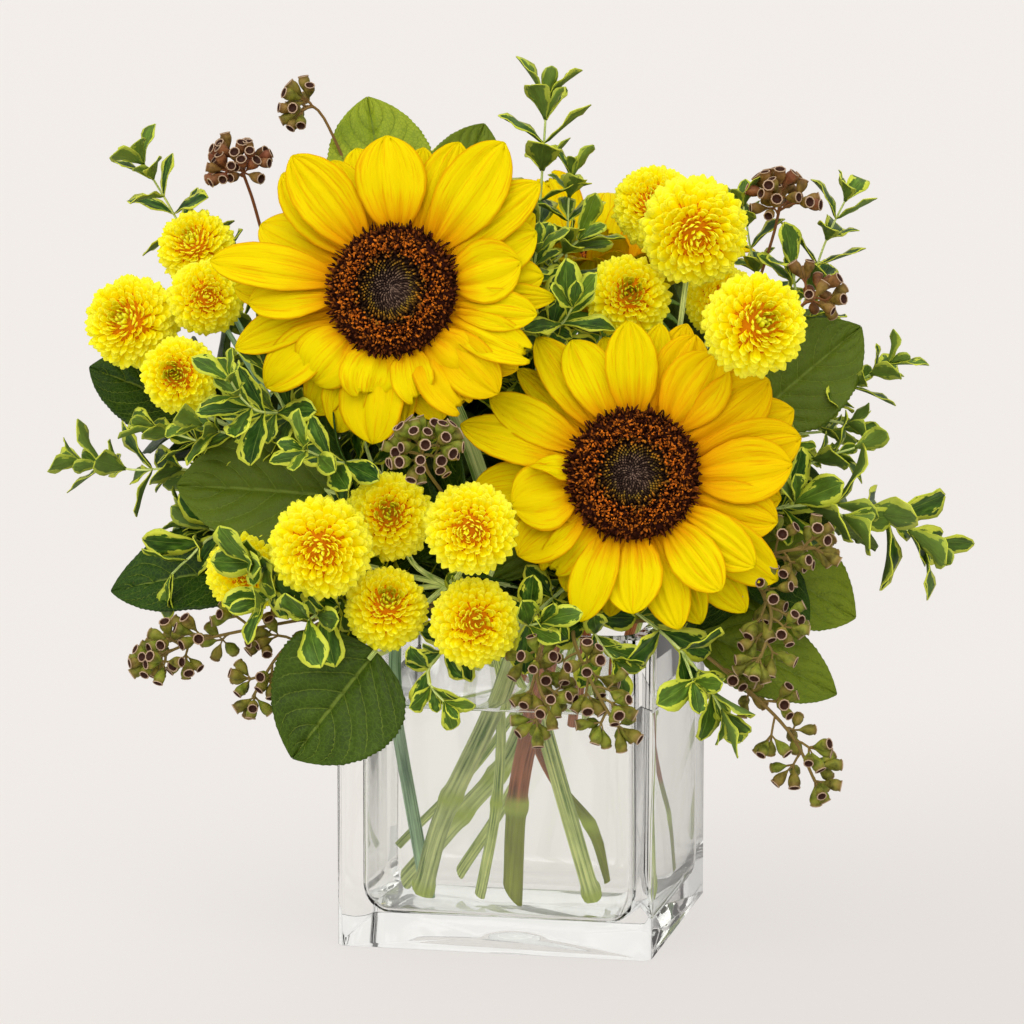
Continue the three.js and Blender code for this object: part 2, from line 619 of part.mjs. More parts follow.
const PETIOLE = 3; // how far a leaf's stalk runs on inside it
function broadLeaves(plant) {
  const stalks = [];
  const blades = [];
  for (const [base, tip, width, faces, ...via] of plant.leaves) {
    const root = place(base);
    const along = place(tip).sub(root);
    const length = along.length();
    along.normalize();
    const side = new THREE.Vector3().crossVectors(along, vec(faces).applyMatrix4(FRONT)).normalize();
    const up = new THREE.Vector3().crossVectors(side, along);
    const leaf = { root, along, up, length, width, thick: 1.6, rings: 5, peak: 0.8, arch: 0.25, fold: 0.16 };
    stalks.push([...via.map(place), root, root.clone().addScaledVector(along, PETIOLE)]);
    bladePlaces(leaf, true).forEach((p) => takeRoom(p, 3.2, plant.name));
    blades.push(blade(leaf));
  }
  return { stalks, blades };
}

// ---------------------------------------------------------------- materials
const finish = (color, roughness, extra = {}) => new THREE.MeshStandardMaterial({
  color, roughness, metalness: 0, ...extra,
});
const FINISH = {
  glass: finish(0xe6ece8, 0.03, { transparent: true, opacity: 0.35 }),
  water: finish(0xeaf1f0, 0.02, { transparent: true, opacity: 0.3 }),
  petal: finish(0xf7c600, 0.55),
  disc: finish(0x3a1a10, 0.85),
  sunflowerStem: finish(0x6f8a34, 0.6),
  pompon: finish(0xf2bd0c, 0.65),
  pomponStem: finish(0x5d7d3a, 0.6),
  variegated: finish(0x5c8a35, 0.5),
  seeded: finish(0x6c6a38, 0.55),
  lemonLeaf: finish(0x3f6b26, 0.45),
};

// ---------------------------------------------------------------- assembly
const pieces = []; // [name, solid, finish]
const vase = makeVase();

const flowers = SUNFLOWERS.map((flower, i) => ({ flower, frame: headFrame(flower), seed: 3 + 11 * i }));
const sunflowerStems = flowers.map(({ flower, frame, seed }) => makeSunflowerStem(flower, frame, seed));
const pomponStems = POMPON_SPRAYS.map(makePomponStem);
const foliage = [...VARIEGATED, ...SEEDED, ...LEMON_LEAF];
const trunks = foliage.map(forkedStem);
flowers.forEach(({ flower, frame }) => takeHead(flower, frame));

// Broad leaves first, because the small ones find room among them.
const broad = new Map(LEMON_LEAF.map((plant) => [plant, broadLeaves(plant)]));
const twigs = foliage.map((plant) => {
  if (broad.has(plant)) return broad.get(plant).stalks.map((places, s) => shootCurve(plant, s, places));
  return plant.shoots.map(([, , , ...points], s) => shootCurve(plant, s, points.map(place)));
});
twigs.forEach((curves, i) => {
  curves.forEach((curve) => takeCurve(curve, SHOOT_RADIUS + 0.5, foliage[i].name));
});
const woody = trunks.map((trunk, i) => {
  const shoots = twigs[i].map((curve) => stemAlong(curve, SHOOT_RADIUS, SHOOT_STEPS, 3));
  return fuse([trunk, ...shoots]);
});
const leafage = foliage.map((plant, i) => {
  if (SEEDED.includes(plant)) return seededPods(plant, 5 + i);
  if (VARIEGATED.includes(plant)) return variegatedLeaves(plant, 5 + i);
  return broad.get(plant).blades;
});

const allStems = [...sunflowerStems, ...pomponStems, ...woody];
const blooms = [];
flowers.forEach(({ flower, frame, seed }, i) => {
  const petals = largest(clearOf(makePetals(flower, frame, seed), [...allStems, ...blooms]));
  const disc = clearOf(makeDisc(flower, frame), [petals]);
  pieces.push([`${flower.name}_stem`, sunflowerStems[i], FINISH.sunflowerStem]);
  pieces.push([`${flower.name}_petals`, petals, FINISH.petal]);
  pieces.push([`${flower.name}_disc`, disc, FINISH.disc]);
  blooms.push(petals, disc);
});
POMPON_SPRAYS.forEach((spray, s) => {
  pieces.push([spray.name, pomponStems[s], FINISH.pomponStem]);
  spray.heads.forEach(([x, y, z, radius], h) => {
    const crown = vec([x * 0.004, -0.8, 0.6]).normalize().applyMatrix4(FRONT);
    const whole = makePompon(place([x, y, z]), radius, crown, 10 * s + h);
    const head = largest(clearOf(whole, [...allStems, ...blooms]));
    pieces.push([`${spray.name.replace('_stem', '')}_${h + 1}`, head, FINISH.pompon]);
    blooms.push(head);
  });
});

function foliageFinish(plant) {
  if (VARIEGATED.includes(plant)) return FINISH.variegated;
  return SEEDED.includes(plant) ? FINISH.seeded : FINISH.lemonLeaf;
}

const finished = [];
foliage.forEach((plant, i) => {
  const others = allStems.filter((stem) => stem !== woody[i]);
  const leaves = clearOf(fuse(leafage[i]), [vase, ...others, ...blooms, ...finished]);
  const whole = largest(fuse([woody[i], leaves]));
  finished.push(whole);
  pieces.push([plant.name, whole, foliageFinish(plant)]);
});
pieces.push(['vase', vase, FINISH.glass]);
pieces.push(['water', largest(makeWater(allStems)), FINISH.water]);

const bouquet = new THREE.Group();
for (const [name, made, material] of pieces) {
  const piece = new THREE.Mesh(surfaceOf(made.simplify(SLACK)), material);
  piece.name = name;
  bouquet.add(piece);
}

export default bouquet;
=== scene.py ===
"""Sunflowers, button chrysanthemums and mixed foliage in a square glass vase of water.

The frame is in metres, +Z up, with its origin in the middle of the vase's foot. The tables below give
places in millimetres as [across, depth, up] seen from the bouquet's front, as its maker would lay it out.
"""

import math

import bmesh
import bpy
import numpy as np
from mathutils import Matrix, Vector


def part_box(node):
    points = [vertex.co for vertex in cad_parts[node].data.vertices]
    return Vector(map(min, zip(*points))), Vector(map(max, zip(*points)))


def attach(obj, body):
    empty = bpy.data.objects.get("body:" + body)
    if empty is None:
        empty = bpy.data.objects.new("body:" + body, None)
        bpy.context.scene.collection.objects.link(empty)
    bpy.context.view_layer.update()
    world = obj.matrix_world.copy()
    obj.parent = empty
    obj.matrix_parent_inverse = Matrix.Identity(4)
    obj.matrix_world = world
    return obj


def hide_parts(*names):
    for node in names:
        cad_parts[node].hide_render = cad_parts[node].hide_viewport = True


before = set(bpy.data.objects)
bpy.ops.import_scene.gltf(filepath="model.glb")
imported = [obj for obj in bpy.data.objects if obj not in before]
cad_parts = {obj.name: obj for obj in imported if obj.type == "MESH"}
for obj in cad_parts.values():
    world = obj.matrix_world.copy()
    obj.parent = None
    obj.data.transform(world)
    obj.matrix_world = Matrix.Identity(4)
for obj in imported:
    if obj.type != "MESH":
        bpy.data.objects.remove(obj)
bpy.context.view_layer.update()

bl_info = {
    "name": "Sunflowers in a Vase",
    "version": (1, 0, 0),
    "blender": (4, 5, 0),
    "location": "3D View > Sidebar > Bouquet",
    "description": "A full bouquet of sunflowers, button chrysanthemums and foliage in a glass vase",
    "category": "Add Mesh",
}

MM = 0.001
BODY = "root"
FRONT_TURN = math.radians(12.3)  # the bouquet's front is turned this far from the vase's front face
ACROSS = np.array([math.cos(FRONT_TURN), math.sin(FRONT_TURN), 0.0])
DEPTH = np.array([-math.sin(FRONT_TURN), math.cos(FRONT_TURN), 0.0])
UP = np.array([0.0, 0.0, 1.0])

# ---------------------------------------- the flowers
# A petal is (degrees round the disc, reach from its middle, width, layer from the front, kind).
PETALS_LEFT = [
    (92, 60, 28, 0, "smooth"), (128, 65, 24, 0, "ridged"), (137, 67, 22, 1, "ridged"),
    (170, 72, 19, 0, "smooth"), (184, 57, 19, 0, "smooth"), (178, 65, 20, 1, "smooth"),
    (225, 47, 27, 0, "curled"), (214, 63, 22, 1, "smooth"), (196, 68, 18, 2, "ridged"),
    (261, 59, 28, 1, "smooth"), (245, 58, 20, 2, "smooth"), (258, 42, 24, 0, "ragged"),
    (287, 44, 17, 0, "ragged"), (311, 41, 25, 0, "curled"), (302, 53, 21, 1, "ragged"),
    (318, 57, 22, 1, "smooth"), (336, 59, 18, 1, "ragged"), (350, 57, 17, 1, "smooth"),
    (358, 62, 12, 2, "ridged"), (11, 51, 25, 0, "smooth"), (23, 59, 24, 1, "smooth"),
    (38, 70, 20, 1, "ridged"), (50, 71, 26, 0, "smooth"), (66, 63, 21, 1, "ridged"),
    (58, 66, 18, 2, "ridged"), (80, 58, 17, 2, "ridged"), (108, 62, 21, 2, "ridged"),
    (153, 66, 22, 2, "smooth"), (272, 52, 18, 2, "ridged"), (290, 52, 18, 2, "smooth"),
    (234, 57, 20, 2, "smooth"), (328, 56, 18, 2, "smooth"), (6, 57, 20, 2, "smooth"),
    (29, 61, 20, 2, "smooth"), (120, 60, 18, 2, "ridged"),
]
PETALS_RIGHT = [
    (91, 59, 21, 0, "ridged"), (113, 58, 20, 0, "smooth"), (125, 66, 18, 1, "ridged"),
    (136, 63, 13, 2, "ridged"), (152, 64, 17, 1, "ridged"), (164, 70, 19, 1, "ridged"),
    (176, 40, 14, 0, "twisted"), (184, 63, 19, 2, "smooth"), (195, 48, 28, 0, "smooth"),
    (214, 54, 23, 1, "smooth"), (229, 49, 17, 1, "ragged"), (250, 60, 18, 1, "keeled"),
    (270, 54, 24, 0, "ridged"), (260, 54, 15, 2, "smooth"), (286, 62, 19, 1, "ridged"),
    (295, 62, 18, 2, "ridged"), (306, 57, 20, 0, "ridged"), (309, 67, 19, 2, "ridged"),
    (322, 59, 20, 0, "ridged"), (324, 68, 21, 1, "smooth"), (341, 58, 23, 1, "smooth"),
    (1, 61, 26, 0, "smooth"), (12, 66, 24, 1, "smooth"), (24, 67, 22, 2, "smooth"),
    (34, 64, 26, 1, "smooth"), (54, 57, 27, 0, "smooth"), (66, 60, 22, 1, "smooth"),
    (72, 64, 17, 2, "ridged"), (81, 61, 15, 2, "ridged"), (44, 61, 21, 2, "smooth"),
    (240, 51, 17, 2, "smooth"), (205, 53, 19, 2, "smooth"), (352, 57, 21, 2, "smooth"),
    (103, 57, 16, 2, "ridged"),
]
PETALS_BACK = [
    ((i * 360 / 34 + 7 * math.sin(5 * i)) % 360, 58 + 4 * math.sin(3 * i), 20 + 3 * math.sin(7 * i), i % 3,
     ("smooth", "ridged", "curled", "ridged", "ragged")[i % 5])
    for i in range(34)
]
# gold is the range of degrees in which the petals are of a deeper gold.
SUNFLOWERS = [
    {
        "name": "left", "head": [-51, -70, 262], "faces": [-0.22, -0.93, 0.25], "disc": 25, "thick": 3.4,
        "stem": [[29, -26, 16], [9, -20, 85], [-2, -14, 127], [-20, -20, 190], [-38, -38, 236]],
        "petals": PETALS_LEFT, "gold": (300, 330), "joints": (18,), "cut": "green",
    },
    {
        "name": "right", "head": [41, -80, 192], "faces": [-0.08, -0.96, 0.26], "disc": 25, "thick": 4,
        "stem": [[-40, -34, 19], [-31, -34, 51], [-12, -32, 91], [2, -28, 127], [22, -34, 160]],
        "petals": PETALS_RIGHT, "gold": (-25, 80), "joints": (20, 58), "cut": "ribbed",
    },
    {
        "name": "back", "head": [30, 44, 257], "faces": [0.08, -0.3, 0.95], "disc": 22, "thick": 3.6,
        "stem": [[-46, -2, 19], [-22, -2, 47], [0, 2, 75], [12, 6, 127], [22, 28, 190]],
        "petals": PETALS_BACK, "gold": (0, 40), "joints": (47, 62), "cut": "ribbed", "cupped": 0.95,
    },
]

# A head is [across, depth, up, radius, crown's offset across, crown's offset up, green heart, via or None].
# The crown's offset is where the middle of its florets shows, as a share of the radius.
POMPON_SPRAYS = [
    {
        "name": "left", "thick": 2.8, "joints": (94,), "cut": "blue",
        "trunk": [[-36, -18, 15], [-50, -28, 92], [-52, -22, 127], [-62, 12, 172]],
        "heads": [
            [-157, -10, 245, 18.5, -0.3, 0.28, 0.35, None], [-133, 15, 273, 15.5, -0.2, 0.5, 0.3, None],
            [-127, -21, 256, 15, 0.15, 0.1, 0, None], [-136, -41, 227, 15, -0.1, 0.12, 1, None],
        ],
    },
    {
        "name": "front", "thick": 2.2, "joints": (54,), "cut": "green",
        "trunk": [[-16, -17, 15], [-9, -17, 54], [-8, -20, 92], [-16, -36, 127], [-31, -54, 146]],
        "heads": [
            [-78, -100, 167, 19.5, 0, -0.04, 0, [-64, -69, 156]],
            [-53, -72, 175, 17, 0.02, 0.24, 0.7, None], [-21, -114, 176, 17.5, -0.03, 0, 0, None],
            [-54, -84, 141, 16, 0.12, 0.5, 0.7, None], [-20, -99, 138, 17, 0.1, 0.12, 0.3, None],
            [-109, -62, 152, 15.5, 0.1, 0.1, 0, None],
        ],
    },
    {
        "name": "right", "thick": 2.2, "cut": "green",
        "trunk": [[-22, 24, 19], [2, 20, 59], [26, -2, 127], [50, -14, 190]],
        "heads": [
            [65, -47, 284, 21, 0.1, -0.2, 0, None], [51, -10, 291, 16.5, -0.1, 0.4, 0, None],
            [40, -36, 257, 16.6, 0.05, 0.25, 1, None],
            [86, -94, 251, 19.5, 0.28, 0.18, 0.5, [99, -58, 256]],
            [77, -22, 255, 14.5, 0.2, 0, 0, None],
        ],
    },
    {
        "name": "back", "thick": 2.2, "cut": "green",
        "trunk": [[-14, 34, 88], [-8, 50, 127], [-8, 74, 150]],
        "heads": [
            [-78, 58, 222, 17, None, None, 0.5, None], [2, 98, 190, 17.5, None, None, 0, None],
            [62, 84, 192, 17, None, None, 0.7, None],
        ],
    },
]

# How far across the heads are that leaves partly cover.
VEILED = (-109, 77)

# ---------------------------------------- the foliage
# A shoot is [leaf length, points after the fork].
VARIEGATED = [
    {
        "name": "left", "thick": 1.6, "trunk": [[4, -8, 86], [-20, -12, 127], [-46, -22, 147]],
        "shoots": [
            [18, [-104, 30, 228], [-136, 38, 272], [-147, 22, 294], [-160, 8, 318]],
            [19, [-124, -20, 184], [-158, -18, 187], [-191, -14, 192]],
            [17, [-110, -28, 190], [-140, -30, 203], [-159, -30, 209]],
            [19, [-112, -34, 164], [-134, -46, 154], [-148, -50, 138]],
            [18, [-84, -34, 204], [-106, -76, 218], [-118, -92, 240]],
            [17, [-58, -46, 190], [-74, -78, 197], [-90, -104, 208]],
            [22, [-80, -52, 158], [-104, -82, 158], [-114, -98, 160]],
            [18, [-96, -30, 196], [-120, -52, 206], [-138, -60, 214]],
            [19, [-84, -62, 150], [-98, -88, 146], [-110, -100, 140]],
            [20, [-66, -50, 140], [-80, -92, 140], [-88, -114, 136]],
        ],
    },
    {
        "name": "front", "thick": 1.5, "trunk": [[26, -14, 86], [24, -30, 127], [20, -50, 150]],
        "shoots": [
            [15, [-16, -74, 134], [-38, -96, 118], [-24, -110, 102]],
            [17, [4, -74, 138], [0, -100, 137], [12, -120, 143]],
            [17, [24, -72, 135], [30, -90, 126], [40, -104, 117]],
            [20, [42, -72, 138], [64, -90, 120], [82, -94, 90]],
        ],
    },
    {
        "name": "right", "thick": 1.6, "trunk": [[-46, 20, 31], [-11, 18, 68], [30, 20, 127], [58, 4, 165]],
        "shoots": [
            [19, [104, 4, 235], [121, 0, 279], [134, -4, 306]],
            [15, [92, 4, 235], [89, 0, 280], [84, -2, 302]],
            [16, [108, -10, 205], [137, -18, 225], [154, -20, 236]],
            [17, [100, -34, 188], [124, -36, 196], [142, -34, 201]],
            [24, [97, -48, 175], [134, -46, 174], [172, -42, 152]],
        ],
    },
    {
        "name": "top", "thick": 1.6, "twigs": (0.3, 0.45),
        "trunk": [[14, 26, 86], [2, 22, 127], [-4, 4, 200]],
        "shoots": [
            [20, [2, -16, 250], [6, -15, 300], [9, -12, 349]],
            [17, [14, -18, 260], [17, -17, 296], [20, -18, 316]],
            [19, [-2, -34, 250], [3, -46, 270], [5, -60, 286]],
            [19, [6, -34, 236], [15, -58, 250], [20, -82, 262]],
        ],
    },
    {
        "name": "back", "thick": 1.6, "trunk": [[2, 42, 88], [4, 46, 127], [2, 62, 158]],
        "shoots": [
            [20, [-60, 84, 196], [-100, 96, 212], [-132, 92, 216]],
            [20, [14, 98, 168], [26, 114, 176], [36, 126, 170]],
            [20, [70, 72, 168], [108, 76, 190], [138, 70, 204]],
            [20, [-30, 96, 240], [-34, 100, 280], [-38, 96, 306]],
        ],
    },
]

# A shoot is [share that is bare, side twigs, nuts on each, redness, points after the fork].
SEEDED = [
    {
        "name": "left", "thick": 2.2, "joints": (41,),
        "trunk": [[37, 14, 19], [29, 13, 41], [12, 11, 64], [-16, 8, 127], [-44, 4, 168]],
        "shoots": [
            [0.93, 3, 5, 0.45, [-62, 30, 270], [-80, 24, 322], [-92, 20, 334]],
            [0.84, 7, 5, 0.9, [-96, 32, 250], [-112, 22, 296], [-117, 12, 312]],
            [0.87, 6, 6, 0.12, [-32, -46, 178], [-38, -94, 196], [-40, -121, 210]],
        ],
    },
    {
        "name": "low", "thick": 2, "trunk": [[20, -28, 86], [24, -42, 127], [22, -56, 132]],
        "shoots": [
            [0.6, 11, 5, 0.2, [-30, -58, 137], [-62, -54, 136], [-126, -52, 124], [-150, -62, 115]],
            [0.66, 7, 5, 0.2, [-28, -60, 139], [-60, -56, 138], [-92, -60, 124], [-110, -66, 98]],
            [0.5, 8, 5, 0.12, [8, -80, 130], [4, -106, 118], [12, -108, 96]],
            [0.5, 8, 5, 0.12, [18, -80, 130], [24, -112, 118], [37, -112, 95]],
            [0.62, 9, 4, 0.25, [40, -60, 132], [56, -66, 130], [98, -76, 96], [115, -72, 66]],
        ],
    },
    {
        "name": "right", "thick": 2, "trunk": [[36, -4, 88], [44, -14, 127], [62, -30, 160]],
        "shoots": [
            [0.45, 7, 4, 0.25, [84, -62, 157], [101, -80, 163], [117, -78, 164]],
            [0.45, 9, 4, 0.15, [84, -66, 152], [94, -86, 140], [88, -90, 117]],
            [0.74, 8, 4, 0.75, [82, 2, 225], [100, -4, 284], [99, -8, 302]],
            [0.8, 5, 3, 0.8, [84, -34, 226], [106, -38, 252], [118, -34, 262]],
        ],
    },
]

# A broad leaf is [base, tip, width, which way its upper face looks, paleness, points on its stalk].
LEMON_LEAF = [
    {
        "name": "front", "thick": 4, "joints": (56,), "cut": "red",
        "trunk": [[-4, -37, 15], [-2, -38, 58], [4, -42, 93], [10, -46, 127], [-2, -44, 150]],
        "leaves": [
            [[-58, -88, 125], [-92, -96, 85], 56, [-0.15, -0.95, 0.25], 0.1, [-38, -58, 130],
             [-56, -75, 122]],
            [[-72, -56, 181], [-139, -52, 188], 50, [0.05, -0.93, 0.38], 0.3],
            [[-108, -34, 150], [-167, -34, 146], 42, [0, -0.7, 0.7], 0, [-20, -29, 137], [-58, -30, 133]],
            [[-14, -58, 148], [-6, -66, 190], 34, [0, -1, 0.2], 0.2],
        ],
    },
    {
        "name": "right", "thick": 2.4, "cut": "green",
        "trunk": [[38, 16, 88], [48, 14, 127], [62, 8, 146]],
        "leaves": [
            [[92, -24, 210], [134, -20, 246], 42, [0.1, -0.9, 0.3], 0.3],
            [[80, -48, 160], [134, -46, 134], 44, [0.2, -0.85, 0.45], 0.6],
            [[66, -54, 128], [126, -54, 106], 38, [0, -0.8, 0.6], 0.6],
            [[92, 24, 168], [148, 34, 158], 42, [0.3, 0.2, 0.9], 0.2],
            [[80, 40, 200], [120, 66, 244], 40, [0.5, 0.5, 0.6], 0.1],
        ],
    },
    {
        "name": "back", "thick": 2.4, "cut": "green",
        "trunk": [[-20, 24, 92], [-26, 28, 127], [-34, 30, 162]],
        "leaves": [
            [[-56, 24, 285], [-64, 32, 336], 44, [0.1, -0.95, 0.2], 1],
            [[-128, 2, 206], [-176, 4, 230], 40, [-0.1, -0.8, 0.6], 0],
            [[-34, 24, 280], [-15, 30, 324], 36, [0.2, -0.95, 0.1], 0.5],
            [[-90, 56, 178], [-150, 66, 170], 44, [-0.3, 0.3, 0.9], 0.1],
            [[-60, 84, 150], [-96, 114, 128], 44, [-0.3, 0.8, 0.5], 0.2],
            [[20, 92, 140], [28, 128, 112], 44, [0.1, 0.8, 0.6], 0.1],
            [[-20, 104, 212], [-26, 122, 258], 42, [0, 1, 0.2], 0.3],
            [[58, 92, 230], [74, 106, 272], 40, [0.2, 0.95, 0.2], 0.1],
            [[80, 74, 150], [130, 92, 128], 42, [0.4, 0.6, 0.7], 0.2],
        ],
    },
]


# ---------------------------------------- places and lines
def place(point):
    """A table's place in the frame's own directions, in millimetres."""
    return point[0] * ACROSS + point[1] * DEPTH + point[2] * UP


def unit(v):
    """A direction of length 1."""
    return v / np.linalg.norm(v)


def ease(low, high, x):
    """0 at low, 1 at high, smooth between."""
    t = np.clip((x - low) / (high - low), 0, 1)
    return t * t * (3 - 2 * t)


def jitter(rng, spread):
    """A chance amount, up to spread either way."""
    return spread * rng.uniform(-1, 1)


def swung(start, toward, angle):
    """A direction turned from start by an angle, toward another that is square to it."""
    return start * math.cos(angle) + toward * math.sin(angle)


def square_to(along, v):
    """A direction square to another, as near to v as it can be."""
    return unit(v - along * np.dot(v, along))


def spiral_turn(i):
    """How far round the i-th floret of a spiral is: they grow by the golden angle."""
    return i * math.pi * (3 - math.sqrt(5))


class Line:
    """A smooth line through places, as a stem grows: each stretch is a cubic with shared tangents."""

    STEPS_PER_SPAN = 24

    def __init__(self, places):
        p = [np.asarray(q, float) for q in places]
        self.knots = [2 * p[0] - p[1], *p, 2 * p[-1] - p[-2]]
        self.spans = len(p) - 1
        shares = np.linspace(0, 1, self.STEPS_PER_SPAN * self.spans + 1)
        self.path = np.array([self.point(s) for s in shares])
        steps = np.linalg.norm(np.diff(self.path, axis=0), axis=1)
        self.run = np.concatenate([[0], np.cumsum(steps)])
        self.length = self.run[-1]

    def point(self, share):
        """The place at an even share of the spans."""
        at = share * self.spans
        span = min(int(at), self.spans - 1)
        a, b, c, d = self.knots[span:span + 4]
        t = at - span
        lean, end = (c - a) / 2, (d - b) / 2
        return b + lean * t + (3 * (c - b) - 2 * lean - end) * t**2 + (2 * (b - c) + lean + end) * t**3

    def along(self, distance):
        """The place and direction at a distance from the start."""
        d = min(max(distance, 0), self.length)
        spot = np.array([np.interp(d, self.run, self.path[:, k]) for k in range(3)])
        k = min(max(int(np.searchsorted(self.run, d)), 1), len(self.path) - 1)
        return spot, unit(self.path[k] - self.path[k - 1])

    def distance_of(self, share):
        """How far from the start an even share of the spans is."""
        return float(np.interp(share, np.linspace(0, 1, len(self.run)), self.run))


def across_of(tangent):
    """Two directions across a stem."""
    steep = abs(tangent[2]) > 0.9
    away = np.array([1.0, 0, 0]) if steep else UP
    first = unit(np.cross(tangent, away))
    return first, np.cross(tangent, first)


# ---------------------------------------- room that is taken
VASE_LOW, VASE_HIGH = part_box("vase")
VASE_SIDE = (VASE_HIGH.x - VASE_LOW.x) / MM
VASE_HEIGHT = (VASE_HIGH.z - VASE_LOW.z) / MM
WATER_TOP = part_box("water")[1].z / MM
GLASS_CLEARANCE = 2  # leaves keep this far from the glass
FLOOR_CLEARANCE = 4
NEIGHBOURHOOD = 60  # balls further than this from a leaf's middle can't touch it
FRONT_LIMIT = 20  # what stands further back than this is shown to the back


class Room:
    """The balls that stems and blooms fill, so that leaves keep clear of them."""

    def __init__(self):
        self.balls = np.empty((0, 4))
        self.owners = np.empty(0, "U40")
        self.shown = []

    def show(self, spot, radius):
        """Keeps a bloom or a broad leaf in sight from the side of the bouquet that it is on."""
        self.shown.append((spot, radius, -1 if spot @ DEPTH < FRONT_LIMIT else 1))

    def hides(self, places, share):
        """Whether places would cover a shown thing, within a share of its radius."""
        for spot, radius, way in self.shown:
            off = places - spot
            over = np.hypot(off @ ACROSS, off[:, 2]) < radius * share
            if (over & (way * (off @ DEPTH) > 0)).any():
                return True
        return False

    def take(self, places, radius, owner):
        """Fills balls round places. A plant's own leaves may touch the balls of their owner."""
        places = np.atleast_2d(places)
        self.balls = np.vstack([self.balls, np.column_stack([places, np.full(len(places), radius)])])
        self.owners = np.concatenate([self.owners, np.full(len(places), owner, "U40")])

    def free(self, places, radius, owner):
        """Whether balls round places would touch neither the glass nor what others have taken."""
        wall = VASE_SIDE / 2 + GLASS_CLEARANCE
        height = places[:, 2]
        inside = (np.abs(places[:, :2]) < wall).all(axis=1) & (height < VASE_HEIGHT + GLASS_CLEARANCE)
        if inside.any() or (height < FLOOR_CLEARANCE).any():
            return False
        off = np.abs(self.balls[:, :3] - places.mean(axis=0)).max(axis=1)
        others = self.balls[(off < NEIGHBOURHOOD) & (self.owners != owner)]
        apart = np.linalg.norm(places[:, None] - others[None, :, :3], axis=2)
        return bool((apart > others[None, :, 3] + radius).all())


room = Room()


# ---------------------------------------- modelling helpers
POINTS, EDGES, FACES = (True, False, False), (False, True, False), (False, False, True)
CLOSE = 1e-5  # metres or shares within which two places count as one


def added(operator, **settings):
    """A new primitive, added while nothing else is selected."""
    bpy.ops.object.select_all(action="DESELECT")
    operator(**settings)
    return bpy.context.active_object


def make_active(obj):
    bpy.ops.object.select_all(action="DESELECT")
    bpy.context.view_layer.objects.active = obj
    obj.select_set(True)


def start_edit(obj):
    """Edit mode for one object alone."""
    make_active(obj)
    bpy.ops.object.mode_set(mode="EDIT")


def select_all():
    bpy.ops.mesh.select_all(action="SELECT")


def select_by(parts):
    """Sets whether points, edges or faces are selected."""
    bpy.context.tool_settings.mesh_select_mode = parts


def end_edit():
    bpy.ops.object.mode_set(mode="OBJECT")


def pick(obj, test):
    """Selects the points of a mesh in edit mode that pass a test of their place."""
    mesh = bmesh.from_edit_mesh(obj.data)
    for v in mesh.verts:
        v.select = bool(test(v.co))
    mesh.select_flush_mode()
    bmesh.update_edit_mesh(obj.data)


def apply_modifier(obj, kind, **settings):
    """Adds a modifier with its settings and applies it at once."""
    bpy.context.view_layer.objects.active = obj
    modifier = obj.modifiers.new(kind.title(), kind)
    for key, value in settings.items():
        setattr(modifier, key, value)
    bpy.ops.object.modifier_apply(modifier=modifier.name)


def values_of(items, name, width=1, kind=float):
    """A named value of each point, corner or face of a mesh, as one array."""
    values = np.empty(len(items) * width, kind)
    items.foreach_get(name, values)
    return values


class Master:
    """One modelled shape that is copied many times. It is read once and then removed."""

    def __init__(self, obj):
        mesh = obj.data
        self.places = values_of(mesh.vertices, "co", 3).reshape(-1, 3)
        self.loops = values_of(mesh.loops, "vertex_index", 1, int)
        self.starts = values_of(mesh.polygons, "loop_start", 1, int)
        looks_down = values_of(mesh.polygons, "normal", 3).reshape(-1, 3)[:, 2] < -0.3
        self.under = looks_down.astype(int)
        self.uv = np.zeros(len(mesh.loops) * 2)
        if mesh.uv_layers:
            self.uv = values_of(mesh.uv_layers[0].data, "uv", 2)
        bpy.data.objects.remove(obj)


class Heap:
    """Copies of masters, gathered into one piece.

    tint is each copy's own chance value and heart its second colour's share: materials read both.
    finish is a copy's material, and under the material of the faces that look down on its master.
    """

    def __init__(self):
        self.places, self.loops, self.starts, self.uv, self.finish = [], [], [], [], []
        self.marks = {"tint": [], "heart": []}
        self.points = self.corners = 0

    def add(self, master, places, tint=0.0, heart=0.0, finish=0, under=None):
        count = len(places)
        self.places.append(places)
        self.loops.append(master.loops + self.points)
        self.starts.append(master.starts + self.corners)
        self.uv.append(master.uv)
        self.marks["tint"].append(np.broadcast_to(tint, count))
        self.marks["heart"].append(np.broadcast_to(heart, count))
        plain = np.full(len(master.starts), finish)
        self.finish.append(plain if under is None else np.where(master.under == 1, under, finish))
        self.points += count
        self.corners += len(master.loops)

    def piece(self, name, finishes):
        """The one object of all copies, in metres."""
        def joined(parts, kind=np.float32):
            return np.concatenate(parts).astype(kind).ravel()

        mesh = bpy.data.meshes.new(name)
        mesh.vertices.add(self.points)
        mesh.vertices.foreach_set("co", joined([places * MM for places in self.places]))
        mesh.loops.add(self.corners)
        mesh.loops.foreach_set("vertex_index", joined(self.loops, np.int32))
        starts = joined(self.starts, np.int32)
        mesh.polygons.add(len(starts))
        mesh.polygons.foreach_set("loop_start", starts)
        mesh.update(calc_edges=True)
        mesh.uv_layers.new(name="UVMap").data.foreach_set("uv", joined(self.uv))
        for mark, values in self.marks.items():
            mesh.attributes.new(mark, "FLOAT", "POINT").data.foreach_set("value", joined(values))
        mesh.polygons.foreach_set("material_index", joined(self.finish, np.int32))
        mesh.polygons.foreach_set("use_smooth", np.ones(len(starts), bool))
        mesh.validate()
        obj = bpy.data.objects.new(name, mesh)
        bpy.context.scene.collection.objects.link(obj)
        for finish in finishes:
            mesh.materials.append(finish)
        return obj


